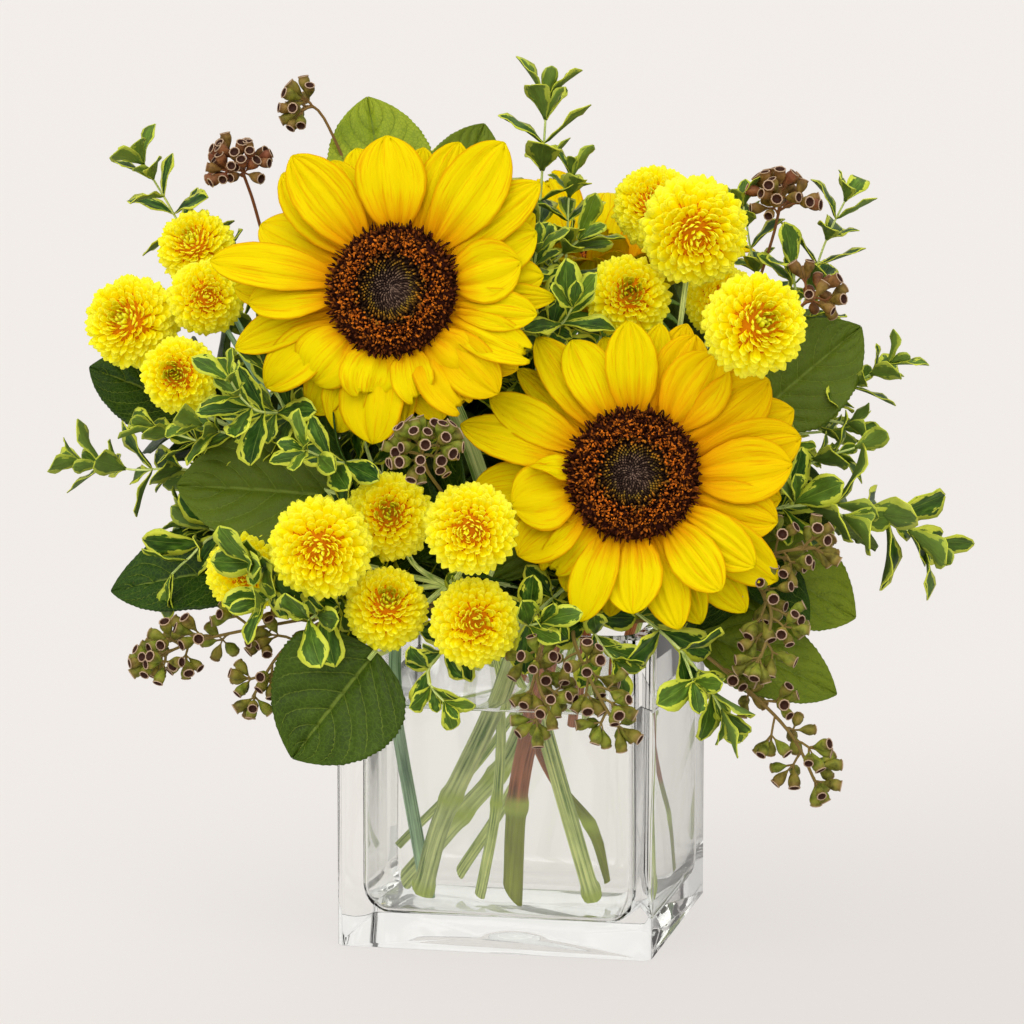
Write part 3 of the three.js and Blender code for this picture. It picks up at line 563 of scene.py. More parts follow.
def hand_over(obj, slot, *nodes):
    """The piece rides on the body and stands for its nodes."""
    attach(obj, BODY)
    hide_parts(*nodes)


# ---------------------------------------- masters
GRID_CLOSE = 1e-4  # places of a blade's grid within this count as one row
NARROWEST = 0.02  # half width that a blade keeps at its ends
BEND_STEPS = np.linspace(0, 1, 33)


def blade_master(name, across, rows, outline, ridges=(), thick=0.05, notch=0.0, teeth=0.0):
    """A blade from (0, 0) to (0, 1) that reaches 1 to either side at its widest.

    outline is a list of (share of the length, share of the width). ridges are (place across, height,
    spread) of lengthwise folds. notch pulls the middle of the tip back, and teeth cut its margin.
    """
    obj = added(bpy.ops.mesh.primitive_grid_add, x_subdivisions=across, y_subdivisions=rows, size=1,
                calc_uvs=True)
    obj.name = name
    start_edit(obj)
    select_all()
    bpy.ops.transform.translate(value=(0, 0.5, 0))
    bpy.ops.transform.resize(value=(2, 1, 1), center_override=(0, 0, 0))
    for k in range(across + 1):
        x = -1 + 2 * k / across
        height = sum(tall * math.exp(-((x - at) / spread) ** 2) for at, tall, spread in ridges)
        if abs(height) > GRID_CLOSE:
            pick(obj, lambda co: abs(co.x - x) < GRID_CLOSE)
            bpy.ops.transform.translate(value=(0, 0, height))
    shares, widths = zip(*outline)
    for k in range(rows + 1):
        y = k / rows
        pick(obj, lambda co: abs(co.y - y) < GRID_CLOSE)
        tooth = (teeth if k % 2 else -teeth) * (0 < k < rows)
        wide = float(np.interp(y, shares, widths)) * (1 + tooth)
        fade = float(ease(0, 0.12, y) * (1 - 0.75 * ease(0.75, 1, y)))  # ridges run out at both ends
        bpy.ops.transform.resize(value=(max(wide, NARROWEST), 1, fade), center_override=(0, y, 0))
    if notch:
        pick(obj, lambda co: co.y > 0.96 and abs(co.x) < 0.5 * widths[-1])
        bpy.ops.transform.translate(value=(0, -notch, 0))
    end_edit()
    if thick:
        apply_modifier(obj, "SOLIDIFY", thickness=thick, offset=0)
    return obj


def turned(name, profile, steps):
    """A solid of revolution about Z, spun from a profile of (radius, height)."""
    points = [(r, 0, z) for r, z in profile]
    obj = bpy.data.objects.new(name, bpy.data.meshes.new(name))
    obj.data.from_pydata(points, [(i, i + 1) for i in range(len(points) - 1)], [])
    bpy.context.scene.collection.objects.link(obj)
    start_edit(obj)
    select_all()
    bpy.ops.mesh.spin(steps=steps, angle=2 * math.pi, center=(0, 0, 0), axis=(0, 0, 1))
    select_all()
    bpy.ops.mesh.remove_doubles(threshold=CLOSE)
    bpy.ops.mesh.normals_make_consistent(inside=False)
    end_edit()
    layer = obj.data.uv_layers.new(name="UVMap")
    reach = np.cumsum([0] + [math.dist(a, b) for a, b in zip(profile, profile[1:])])
    for loop in obj.data.loops:
        co = obj.data.vertices[loop.vertex_index].co
        radius = math.hypot(co.x, co.y)
        off = [abs(r - radius) + abs(z - co.z) for r, z in profile]
        turn = math.atan2(co.y, co.x) / (2 * math.pi) + 0.5
        layer.data[loop.index].uv = (turn, reach[off.index(min(off))] / reach[-1])
    return obj


def bend_of(arch, curl):
    """How far a blade has bent at each step of its length."""
    return arch * BEND_STEPS + curl * BEND_STEPS**4


def lay_blade(master, root, along, up, length, width, arch=0.0, curl=0.0, fold=0.0, cup=0.0, twist=0.0,
              wave=0.0, beat=0.0, sway=0.0):
    """A copy of a blade's places, bent along its length and laid from its root.

    arch and curl bend it away from its upper face, evenly and at the tip. fold and cup raise its edges.
    wave ripples its margin from beat on, twist turns its tip, and sway bends it to one side.
    """
    half = width / 2
    x, share = master.places[:, 0] * half, master.places[:, 1]
    out = np.abs(master.places[:, 0])
    z = master.places[:, 2] * half + fold * np.abs(x) + cup * half * out**2
    z = z + wave * half * out**1.5 * np.sin(beat + 11 * share + 2.2 * np.sign(x))
    roll = twist * share
    x, z = x * np.cos(roll) - z * np.sin(roll), x * np.sin(roll) + z * np.cos(roll)
    bend = bend_of(arch, curl)
    steps = len(bend) - 1
    run = np.concatenate([[0], np.cumsum(np.cos(bend[1:]))]) / steps
    drop = np.concatenate([[0], np.cumsum(np.sin(bend[1:]))]) / steps
    angle = np.interp(share, BEND_STEPS, bend)
    forward = length * np.interp(share, BEND_STEPS, run) + z * np.sin(angle)
    lift = -length * np.interp(share, BEND_STEPS, drop) + z * np.cos(angle)
    aside = x + sway * length * share**2
    return root + forward[:, None] * along + lift[:, None] * up + aside[:, None] * np.cross(along, up)


def blade_spots(root, along, up, length, width, arch):
    """A few places that a blade covers, for the test of room."""
    side = np.cross(along, up)
    spots = []
    for share in (0.35, 0.6, 0.85, 1.0):
        middle = root + along * length * share - up * (length * arch * share * share / 2)
        spots += [middle + side * width * w for w in ((-0.35, 0, 0.35) if share < 0.9 else (0,))]
    return np.array(spots)


# How much thicker a stem is at its joints, how far up and down, and how far their colour reaches.
JOINT_SWELL, JOINT_SPREAD, JOINT_PATCH = 0.3, 2.6, 3.0


def tube(line, radius, sides, step, joints=(), taper=1.0, stop=None):
    """A curve with a round bevel, made a mesh.

    joints are heights at which the stem is thicker. taper is its tip's share of the radius, and stop the
    distance along the line at which it ends.
    """
    end = line.length if stop is None else stop
    count = max(int(end / step), 2)
    data = added(bpy.ops.curve.primitive_nurbs_path_add).data
    data.splines.clear()
    spline = data.splines.new("POLY")
    spline.points.add(count)
    for k in range(count + 1):
        spot, _ = line.along(end * k / count)
        swell = sum(JOINT_SWELL * math.exp(-((spot[2] - z) / JOINT_SPREAD) ** 2) for z in joints)
        spline.points[k].co = (*spot, 1)
        spline.points[k].radius = radius * (1 + (taper - 1) * k / count) * (1 + swell)
    data.bevel_depth = 1
    data.bevel_resolution = max((sides - 4) // 2, 0)
    data.use_fill_caps = True
    data.twist_mode = "MINIMUM"
    bpy.ops.object.convert(target="MESH")
    return Master(bpy.context.active_object)


def slant_cut(places, line, radius, lean, slope):
    """Slants a stem's cut end: the side that lean points to is the lowest, the other ends higher."""
    start, tangent = line.along(0)
    along = (places - start) @ tangent
    out = (places - start) @ square_to(tangent, lean)
    fade = 1 - ease(0, 6 * slope * radius, along)
    return places + tangent * (slope * np.maximum(radius - out, 0) * fade)[:, None]


def joint_marks(places, joints):
    """1 at a stem's joints and 0 elsewhere."""
    marks = np.zeros(len(places))
    for z in joints:
        marks = np.maximum(marks, np.exp(-((places[:, 2] - z) / JOINT_PATCH) ** 2))
    return marks


def add_stalk(heap, line, plant, sides, step, finish=0, taper=1.0, lean=None, slope=0.0):
    """A plant's cut stem, with its joints marked and its end slanted where a lean is given."""
    joints = plant.get("joints", ())
    stalk = tube(line, plant["thick"], sides, step, joints, taper)
    marks = joint_marks(stalk.places, joints)
    if lean is not None:
        stalk.places = slant_cut(stalk.places, line, plant["thick"], lean, slope)
    heap.add(stalk, stalk.places, 0.5, marks, finish=finish)


def add_twig(heap, line, radius, sides, step, heart=0.0, finish=0, **ends):
    """A plain round twig. ends are the taper and the stop that tube takes."""
    twig = tube(line, radius, sides, step, **ends)
    heap.add(twig, twig.places, 0.5, heart, finish=finish)


# ---------------------------------------- finishes
class Finish:
    """A material, or a shader group, and short words for the nodes in it."""

    def __init__(self, name, roughness=0.5, **shader):
        self.material = bpy.data.materials.new(name)
        self.material.use_nodes = True
        self.tree = self.material.node_tree
        self.shader = self.tree.nodes["Principled BSDF"]
        self.shader.inputs["Roughness"].default_value = roughness
        for key, value in shader.items():
            self.shader.inputs[key.replace("_", " ")].default_value = value

    def node(self, kind, inputs=(), **settings):
        """A node with its settings, and its inputs linked to sockets or set to values."""
        made = self.tree.nodes.new(kind)
        for key, value in settings.items():
            setattr(made, key, value)
        for key, value in dict(inputs).items():
            if isinstance(value, bpy.types.NodeSocket):
                self.tree.links.new(value, made.inputs[key])
            else:
                made.inputs[key].default_value = value
        return made

    def group(self, tree, inputs):
        return self.node("ShaderNodeGroup", inputs, node_tree=tree).outputs

    def maths(self, operation, a, b=0.0, c=0.0, clamp=False):
        inputs = {0: a, 1: b, 2: c}
        return self.node("ShaderNodeMath", inputs, operation=operation, use_clamp=clamp).outputs[0]

    def plus(self, a, b):
        return self.maths("ADD", a, b)

    def minus(self, a, b):
        return self.maths("SUBTRACT", a, b)

    def times(self, a, b):
        return self.maths("MULTIPLY", a, b)

    def inverse(self, value):
        """1 where the value is 0, and 0 where it is 1."""
        return self.minus(1.0, value)

    def swing(self, value, by):
        """A value from 0 to 1 as a swing about 0."""
        return self.times(self.minus(value, 0.5), by)

    def split(self, vector):
        """A vector's own three values."""
        return self.node("ShaderNodeSeparateXYZ", {0: vector}).outputs

    def along(self):
        """How far along its blade or profile a place is."""
        return self.split(self.uv())[1]

    def between(self, value, low, high):
        """0 below low, 1 above high, smooth between."""
        inputs = {"Value": value, "From Min": low, "From Max": high}
        return self.node("ShaderNodeMapRange", inputs, interpolation_type="SMOOTHSTEP").outputs["Result"]

    def mix(self, share, a, b, blend="MIX"):
        made = self.node("ShaderNodeMix", {0: share, 6: a, 7: b}, data_type="RGBA", blend_type=blend)
        return made.outputs[2]

    def noise(self, vector, scale, detail=3.0, rough=0.55):
        inputs = {"Vector": vector, "Scale": scale, "Detail": detail, "Roughness": rough}
        return self.node("ShaderNodeTexNoise", inputs).outputs["Fac"]

    def ramp(self, share, *stops):
        """A colour ramp. Each stop is (position, colour)."""
        made = self.node("ShaderNodeValToRGB", {"Fac": share})
        while len(made.color_ramp.elements) < len(stops):
            made.color_ramp.elements.new(0.5)
        for element, (at, colour) in zip(made.color_ramp.elements, stops):
            element.position, element.color = at, (*colour, 1)
        return made.outputs["Color"]

    def uv(self):
        """The piece's own UV map: across and along each blade."""
        return self.node("ShaderNodeUVMap", uv_map="UVMap").outputs["UV"]

    def own_place(self):
        """The place on the piece, in metres."""
        return self.node("ShaderNodeTexCoord").outputs["Object"]

    def mark(self, name):
        """A value that each copy in a heap carries."""
        return self.node("ShaderNodeAttribute", attribute_name=name).outputs["Fac"]

    def stretch(self, vector, scale):
        return self.node("ShaderNodeMapping", {"Vector": vector, "Scale": scale}).outputs["Vector"]

    def toward(self, vector, way):
        """How far a vector reaches in one direction."""
        inputs = {0: vector, 1: [float(c) for c in way]}
        return self.node("ShaderNodeVectorMath", inputs, operation="DOT_PRODUCT").outputs["Value"]

    def shifted(self, vector, by):
        """The vector moved by a value, so that each copy shows another part of the pattern."""
        return self.node("ShaderNodeVectorMath", {0: vector, 1: by}, operation="ADD").outputs[0]

    def bump(self, height, depth_mm, strength=1.0):
        inputs = {"Height": height, "Distance": depth_mm * MM, "Strength": strength}
        self.paint(self.node("ShaderNodeBump", inputs).outputs["Normal"], "Normal")

    def glow(self, colour, strength):
        """Light of its own colour, given off though the surface is no lamp: painted light that lifts its
        shade.
        """
        self.shader.inputs["Emission Strength"].default_value = strength
        self.paint(colour, "Emission Color")

    def paint(self, colour, socket="Base Color"):
        """Links a colour to the shader, and gives the finished material."""
        self.tree.links.new(colour, self.shader.inputs[socket])
        return self.material


class Effect(Finish):
    """A shader group with named inputs and outputs."""

    def __init__(self, name, inputs, outputs):
        self.tree = bpy.data.node_groups.new(name, "ShaderNodeTree")
        for key, (kind, value) in inputs.items():
            socket = self.tree.interface.new_socket(key, in_out="INPUT", socket_type=kind)
            if value is not None:
                socket.default_value = value
        for key, kind in outputs.items():
            self.tree.interface.new_socket(key, in_out="OUTPUT", socket_type=kind)
        self.given = self.tree.nodes.new("NodeGroupInput").outputs
        self.result = self.tree.nodes.new("NodeGroupOutput").inputs

    def give(self, **sockets):
        for key, socket in sockets.items():
            self.tree.links.new(socket, self.result[key])
        return self.tree


VEIN_PAIRS, VEIN_SLANT = 6.5, 0.42  # of a broad leaf, in its shape and in its finish


def fibre_effect():
    """Fine lengthwise fibres on a blade's own UV map: petals and variegated leaves have them."""
    inputs = {
        "UV": ("NodeSocketVector", None), "Shift": ("NodeSocketFloat", 0.0),
        "Across": ("NodeSocketFloat", 40.0), "Along": ("NodeSocketFloat", 2.0),
    }
    made = Effect("Lengthwise fibres", inputs, {"Fibres": "NodeSocketFloat"})
    across, along, _ = made.split(made.given["UV"])
    across = made.times(across, made.given["Across"])
    along = made.times(along, made.given["Along"])
    spot = made.node("ShaderNodeCombineXYZ", {0: across, 1: along, 2: made.given["Shift"]}).outputs[0]
    return made.give(Fibres=made.noise(spot, 1.0, 3.0, 0.6))


def vein_effect():
    """A leaf's midrib and its slanting side veins, 1 on a vein, on the blade's own UV map."""
    inputs = {
        "UV": ("NodeSocketVector", None), "Pairs": ("NodeSocketFloat", 7.0),
        "Slant": ("NodeSocketFloat", 0.35), "Wobble": ("NodeSocketFloat", 0.0),
    }
    made = Effect("Leaf veins", inputs, {"Midrib": "NodeSocketFloat", "Side veins": "NodeSocketFloat",
                                         "Out": "NodeSocketFloat"})
    split = made.split(made.given["UV"])
    out = made.times(made.maths("ABSOLUTE", made.minus(split[0], 0.5)), 2.0)
    lean = made.times(made.maths("POWER", out, 1.25), made.given["Slant"])
    start = made.plus(made.minus(split[1], lean), made.given["Wobble"])
    beat = made.maths("FRACT", made.times(start, made.given["Pairs"]))
    gap = made.maths("ABSOLUTE", made.minus(beat, 0.5))
    side = made.inverse(made.between(gap, 0.0, 0.055))
    side = made.times(side, made.inverse(made.between(out, 0.75, 1.0)))
    rib = made.inverse(made.between(out, 0.01, 0.038))
    return made.give(**{"Midrib": rib, "Side veins": side, "Out": out})


def petal_finish(fibres, settings):
    """Yellow, orange at the root, with darker lines along it and darker margins. The petals' heart value
    makes them golden.

    The orange root is partly the petals' own colour and partly painted shade near the disc. The darker
    lines are partly veins and partly painted shade in the creases, and the darker margins are painted shade
    where the petals overlap.
    """
    f = Finish("Sunflower petal", 0.55, Subsurface_Weight=0.12, Subsurface_Scale=0.0015,
               Subsurface_Radius=(1.0, 0.6, 0.02), Specular_IOR_Level=0.02)
    uv, tint = f.uv(), f.mark("tint")
    lines = f.group(fibres, {"UV": uv, "Shift": f.times(tint, 37.0), "Across": 26.0})[0]
    across, along, _ = f.split(uv)
    reach = f.plus(along, f.swing(lines, 0.3))
    # Painted shade: the root's orange is partly the petals' own colour and partly shade near the disc.
    root = (0.55, 0.17, 0.001)
    bright = f.ramp(reach, (0.0, root), (0.16, (0.74, 0.34, 0.001)), (0.46, settings.petal_bright),
                    (1.0, settings.petal_bright))
    golden = f.ramp(reach, (0.0, root), (0.2, (0.76, 0.34, 0.001)), (0.65, settings.petal_golden),
                    (1.0, (0.84, 0.56, 0.001)))
    colour = f.mix(f.mark("heart"), bright, golden)
    # Painted shade: darker lines along the fibres, partly veins and partly shade in the creases, and darker
    # margins where the petals overlap.
    dark = f.times(f.between(lines, 0.5, 0.27), 0.7)
    edge = f.maths("ABSOLUTE", f.minus(across, 0.5))
    dark = f.maths("MAXIMUM", dark, f.times(f.between(edge, 0.44, 0.5), 0.75))
    colour = f.mix(dark, colour, (0.7, 0.29, 0.001, 1))
    f.bump(lines, 0.8, 0.5)
    return f.paint(colour)


def disc_finish():
    """Dark florets with lighter tips. The heart value is the floret's place from the middle to the edge."""
    f = Finish("Sunflower disc", 0.8, Specular_IOR_Level=0.08)
    tint, ring = f.mark("tint"), f.mark("heart")
    wobble = f.plus(ring, f.swing(tint, 0.08))
    maroon = (0.035, 0.007, 0.003)
    low = f.ramp(wobble, (0.0, (0.045, 0.026, 0.022)), (0.38, (0.035, 0.018, 0.012)),
                 (0.5, (0.022, 0.009, 0.005)), (0.62, maroon), (0.9, maroon), (1.0, (0.02, 0.005, 0.002)))
    high = f.ramp(wobble, (0.0, (0.26, 0.17, 0.13)), (0.36, (0.24, 0.15, 0.1)), (0.43, (0.34, 0.22, 0.03)),
                  (0.55, (0.56, 0.25, 0.02)), (0.62, (0.72, 0.17, 0.012)), (0.86, (0.8, 0.22, 0.015)),
                  (1.0, (0.11, 0.022, 0.005)))
    share = f.times(f.between(f.along(), 0.4, 0.95), f.between(tint, 0.1, 1.0))
    return f.paint(f.mix(share, low, high))


def pompon_finish(settings):
    """Yellow florets, orange at their roots, and green ones dark at their roots. The darkening toward the
    roots is partly the florets' own colour and partly painted shade deep in the head, and a little glow is
    painted light that lifts their shade. The heart value makes those of a green middle.
    """
    f = Finish("Button chrysanthemum floret", 0.55, Subsurface_Weight=0.3, Subsurface_Scale=0.003,
               Subsurface_Radius=(1.0, 0.7, 0.03), Specular_IOR_Level=0.05)
    along = f.along()
    reach = f.plus(along, f.swing(f.mark("tint"), 0.16))
    # Painted shade: both ramps darken toward the roots, partly the florets' own colour and partly shade
    # deep in the head.
    yellow = f.ramp(reach, (0.0, (0.62, 0.2, 0.001)), (0.26, (0.94, 0.52, 0.001)),
                    (0.46, (1.0, 0.78, 0.001)), (0.75, settings.pompon_tip), (0.95, (1.0, 0.94, 0.05)))
    green = f.ramp(along, (0.0, (0.02, 0.03, 0.002)), (0.72, (0.13, 0.16, 0.004)),
                   (0.94, (0.62, 0.56, 0.006)))
    colour = f.mix(f.mark("heart"), yellow, green)
    # Painted light: the florets glow a little, which lifts their shade.
    f.glow(colour, 0.08)
    return f.paint(colour)


def two_faces(name, gloss, under, **shader):
    """The finish of a leaf's glossier upper face, or of its dull underside."""
    top, underside = gloss
    return Finish(name + " underside", underside, **shader) if under else Finish(name, top, **shader)


def variegated_finish(veins, fibres, settings, under=False):
    """A green leaf with an uneven cream margin. The heart value makes the young leaves at a tip."""
    f = two_faces("Variegated leaf", (0.36, 0.6), under, Specular_IOR_Level=0.2)
    uv = f.uv()
    shift = f.times(f.mark("tint"), 61.0)
    vein = f.group(veins, {"UV": uv, "Pairs": 6.0, "Slant": 0.4})
    lines = f.group(fibres, {"UV": uv, "Shift": shift, "Across": 9.0, "Along": 3.0})[0]
    own_patch = f.node("ShaderNodeCombineXYZ", {2: shift}).outputs[0]
    patch = f.noise(f.shifted(f.stretch(uv, (3.2, 2.6, 1)), own_patch), 1.4, 3.0)
    tip = f.times(f.between(f.split(uv)[1], 0.88, 1.0), 0.4)
    edge = f.plus(f.plus(vein["Out"], tip), f.swing(patch, 1.3))
    margin = f.between(f.plus(edge, f.swing(lines, 0.5)), 0.66, 0.71)
    mottle = f.plus(f.times(lines, 0.6), f.times(patch, 0.4))
    green = f.ramp(mottle, (0.36, settings.leaf_dark), (0.52, settings.leaf_green),
                   (0.7, (0.15, 0.29, 0.028)))
    cream = f.ramp(lines, (0.3, (0.52, 0.6, 0.03)), (0.7, settings.leaf_cream))
    colour = f.mix(margin, green, cream)
    colour = f.mix(f.times(vein["Midrib"], 0.6), colour, (0.24, 0.36, 0.04, 1))
    colour = f.mix(f.times(vein["Side veins"], 0.2), colour, (0.17, 0.28, 0.03, 1))
    if under:
        colour = f.mix(0.45, colour, (0.24, 0.34, 0.08, 1))
    young = f.times(f.mark("heart"), 0.35)
    colour = f.mix(young, colour, (0.28, 0.42, 0.04, 1))
    f.bump(f.plus(f.times(vein["Midrib"], -1.0), lines), 0.25, 0.6)
    return f.paint(colour)


def broad_finish(veins, settings, under=False):
    """A dark leaf with a net of fine veins. The heart value is how pale it is."""
    f = two_faces("Lemon leaf", (0.38, 0.62), under, Specular_IOR_Level=0.17)
    uv, spot = f.uv(), f.own_place()
    drift = f.swing(f.noise(f.stretch(uv, (2, 3, 1)), 2.0), 0.05)
    vein = f.group(veins, {"UV": uv, "Pairs": VEIN_PAIRS, "Slant": VEIN_SLANT, "Wobble": drift})
    cells = f.node("ShaderNodeTexVoronoi", {"Vector": f.stretch(uv, (22, 34, 1)), "Scale": 1.0},
                   feature="DISTANCE_TO_EDGE").outputs["Distance"]
    net = f.inverse(f.between(cells, 0.0, 0.14))
    cloud = f.noise(spot, 55.0, 4.0)
    green = f.ramp(cloud, (0.3, settings.broad_dark), (0.7, settings.broad_green))
    light = f.ramp(cloud, (0.3, (0.23, 0.31, 0.013)), (0.7, (0.34, 0.41, 0.02)))
    colour = f.mix(f.mark("heart"), green, light)
    colour = f.mix(f.times(net, 0.36), colour, (0.1, 0.18, 0.012, 1))
    strong = f.maths("MAXIMUM", f.times(vein["Side veins"], 0.65), f.times(vein["Midrib"], 0.85))
    colour = f.mix(strong, colour, (0.19, 0.26, 0.03, 1))
    spots = f.between(f.noise(f.shifted(spot, f.mark("tint")), 420.0, 2.0), 0.72, 0.78)
    colour = f.mix(f.times(spots, 0.4), colour, (0.12, 0.07, 0.02, 1))
    if under:
        colour = f.mix(0.5, colour, (0.2, 0.27, 0.07, 1))
    height = f.plus(f.times(strong, -1.0), f.times(net, -0.35))
    f.bump(height, 0.35, 0.7)
    return f.paint(colour)


def nut_finish():
    """Green or ruddy skin, by the heart value, a pale lip and a dark mouth, along the nut's profile."""
    f = Finish("Gum nut", 0.5, Specular_IOR_Level=0.16)
    along = f.along()
    cloud = f.noise(f.own_place(), 260.0, 4.0)
    green = f.ramp(cloud, (0.3, (0.07, 0.088, 0.008)), (0.52, (0.23, 0.28, 0.028)),
                   (0.8, (0.36, 0.31, 0.05)))
    ruddy = f.ramp(cloud, (0.3, (0.1, 0.03, 0.015)), (0.55, (0.27, 0.09, 0.04)), (0.8, (0.4, 0.2, 0.09)))
    body = f.mix(f.mark("heart"), green, ruddy)
    body = f.mix(f.times(f.between(along, 0.5, 0.68), 0.4), body, (0.16, 0.06, 0.03, 1))
    lip = f.mix(f.between(along, 0.69, 0.715), body, (0.46, 0.32, 0.21, 1))
    # Painted shade: the near-black mouth is partly the nut's own dark inside and partly shade in its
    # hollow.
    colour = f.mix(f.between(along, 0.765, 0.79), lip, (0.05, 0.016, 0.008, 1))
    f.bump(cloud, 0.3, 0.5)
    return f.paint(colour)


def stem_finish(name, low, high, joint, ribs=0.0, roughness=0.45, spots=0.0, foot=None):
    """A stem's skin: streaks along it, joints of their own colour, fine spots and lengthwise ribs. The
    streaks run from dark to light, partly the stem's own streaks and partly painted highlight and shade,
    and a little glow is painted light that lifts its shade.

    foot is (height, colour) where the lowest part is of another colour.
    """
    f = Finish(name, roughness, Specular_IOR_Level=0.12)
    spot = f.own_place()
    streaks_and_painted_light = f.noise(f.stretch(f.uv(), (5, 18, 1)), 1.0, 4.0)
    cloud = f.noise(spot, 60.0, 3.0)
    share = f.plus(f.times(streaks_and_painted_light, 0.75), f.times(cloud, 0.25))
    middle = [0.5 * (a + b) for a, b in zip(low, high)]
    # Painted light and shade: the ramp from the darkest to the lightest colour stands in partly for the lit
    # and shaded sides of the stem.
    colour = f.ramp(share, (0.38, low), (0.48, middle), (0.62, high))
    if spots:
        speck = f.between(f.noise(spot, 900.0, 2.0), 0.66, 0.74)
        colour = f.mix(f.times(speck, spots), colour, (0.4, 0.45, 0.2, 1))
    if foot:
        end, tone = foot
        low_part = f.ramp(share, (0.32, [0.45 * c for c in tone]), (0.66, tone))
        colour = f.mix(f.between(f.split(spot)[2], end + 0.002, end - 0.002), colour, low_part)
    colour = f.mix(f.mark("heart"), colour, (*joint, 1))
    # Painted light: the stems glow a little, which lifts their shade inside the glass and the bouquet.
    f.glow(colour, 0.18)
    f.bump(streaks_and_painted_light, 0.5 + ribs, 0.5 + 0.3 * ribs)
    return f.paint(colour)


PALE_JOINT = (0.5, 0.62, 0.1)
# A skin is (its material, darkest and lightest colour, joints' colour, ribs, what else stem_finish takes).
STEM_SKINS = {
    "green": ("Green stem", (0.1, 0.22, 0.012), (0.92, 1.0, 0.36), PALE_JOINT, 0.4, {}),
    "ribbed": ("Ribbed stem", (0.1, 0.2, 0.012), (0.92, 1.0, 0.4), PALE_JOINT, 1.2, {"spots": 0.4}),
    "blue": ("Blue-green stem", (0.08, 0.18, 0.08), (0.48, 0.7, 0.4), PALE_JOINT, 0.3, {}),
    "red": ("Red-brown stem", (0.16, 0.045, 0.01), (0.58, 0.2, 0.075), PALE_JOINT, 0.2,
            {"foot": (0.055, (0.38, 0.43, 0.05))}),
    "bract": ("Sunflower bract", (0.06, 0.13, 0.01), (0.16, 0.28, 0.03), PALE_JOINT, 0.0,
              {"roughness": 0.6}),
    "nut": ("Nut twig", (0.14, 0.13, 0.03), (0.28, 0.2, 0.06), (0.2, 0.06, 0.025), 0.0, {}),
}


def stem_finishes():
    """The skins of the cut stems, after those seen through the glass. They are made once."""
    for name, low, high, joint, ribs, more in STEM_SKINS.values():
        if name not in bpy.data.materials:
            stem_finish(name, low, high, joint, ribs, **more)
    return {key: bpy.data.materials[skin[0]] for key, skin in STEM_SKINS.items()}


def glass_finish():
    """Pressed glass, with the slight waves that it cools with."""
    f = Finish("Clear glass", 0.0, IOR=1.5, Transmission_Weight=1.0, Base_Color=(0.985, 0.988, 0.972, 1))
    f.bump(f.noise(f.own_place(), 16.0, 1.5), 0.35, 0.35)
    return f.material


def water_finish():
    f = Finish("Water", 0.0, IOR=1.333, Transmission_Weight=1.0, Base_Color=(0.985, 0.995, 0.99, 1))
    return f.material


# ---------------------------------------- settings
def a_colour(name, description, default):
    return bpy.props.FloatVectorProperty(name=name, description=description, default=default,
                                         subtype="COLOR", size=3, min=0, max=1)


def a_number(name, description, default, low, high, **settings):
    return bpy.props.FloatProperty(name=name, description=description, default=default, min=low, max=high,
                                   **settings)


def a_length(name, description, default, low, high):
    return a_number(name, description, default, low, high, unit="LENGTH")


def a_count(name, description, default, low, high):
    return bpy.props.IntProperty(name=name, description=description, default=default, min=low, max=high)


class FlowerSettings(bpy.types.PropertyGroup):
    petal_bright: a_colour("Bright petal", "Colour of most sunflower petals", (0.79, 0.64, 0.001))
    petal_golden: a_colour("Golden petal", "Colour of the deeper sunflower petals", (0.82, 0.56, 0.001))
    pompon_tip: a_colour("Floret tip", "Colour of the chrysanthemums' floret tips", (1.0, 0.9, 0.003))
    disc_florets: a_count("Disc florets", "Florets in a sunflower's disc", 1450, 200, 3000)
    button_florets: a_count("Button florets", "Florets on a chrysanthemum", 540, 100, 900)


class FoliageSettings(bpy.types.PropertyGroup):
    leaf_dark: a_colour("Dark green", "Darkest green of the variegated leaves", (0.008, 0.032, 0.004))
    leaf_green: a_colour("Green", "Green of the variegated leaves", (0.038, 0.106, 0.009))
    leaf_cream: a_colour("Margin", "Colour of the variegated leaves' margin", (0.76, 0.78, 0.08))
    broad_dark: a_colour("Broad leaf, dark", "Darkest green of the broad leaves", (0.011, 0.033, 0.003))
    broad_green: a_colour("Broad leaf", "Green of the broad leaves", (0.023, 0.064, 0.004))
    leaf_pitch: a_length("Leaf pitch", "Distance between two pairs of leaves", 0.0102, 0.004, 0.03)


class VaseSettings(bpy.types.PropertyGroup):
    wall: a_length("Wall", "Thickness of the glass wall", 0.009, 0.003, 0.02)
    foot: a_length("Foot", "Thickness of the glass under the water", 0.0125, 0.005, 0.03)
    edge: a_length("Edge", "Rounding of the outer corners", 0.004, 0.001, 0.01)
    inner_corner: a_length("Inner corner", "Rounding of the cavity's corners", 0.011, 0.002, 0.02)


class StageSettings(bpy.types.PropertyGroup):
    floor_near: a_colour("Near floor", "Tone of the floor in front", (0.805, 0.765, 0.733))
    floor_far: a_colour("Far floor", "Tone of the floor behind", (0.888, 0.848, 0.815))
    floor_glow: a_number("Glow", "Share of its tone that the floor gives itself", 0.82, 0, 1)
    floor_shade: a_number("Shade", "Share of the light that the floor returns", 0.14, 0, 1)
    sky: a_number("Sky", "Strength of the even light", 0.9, 0, 5)
    key: a_number("Key", "Strength of the light from the upper left", 1.6, 0, 20)


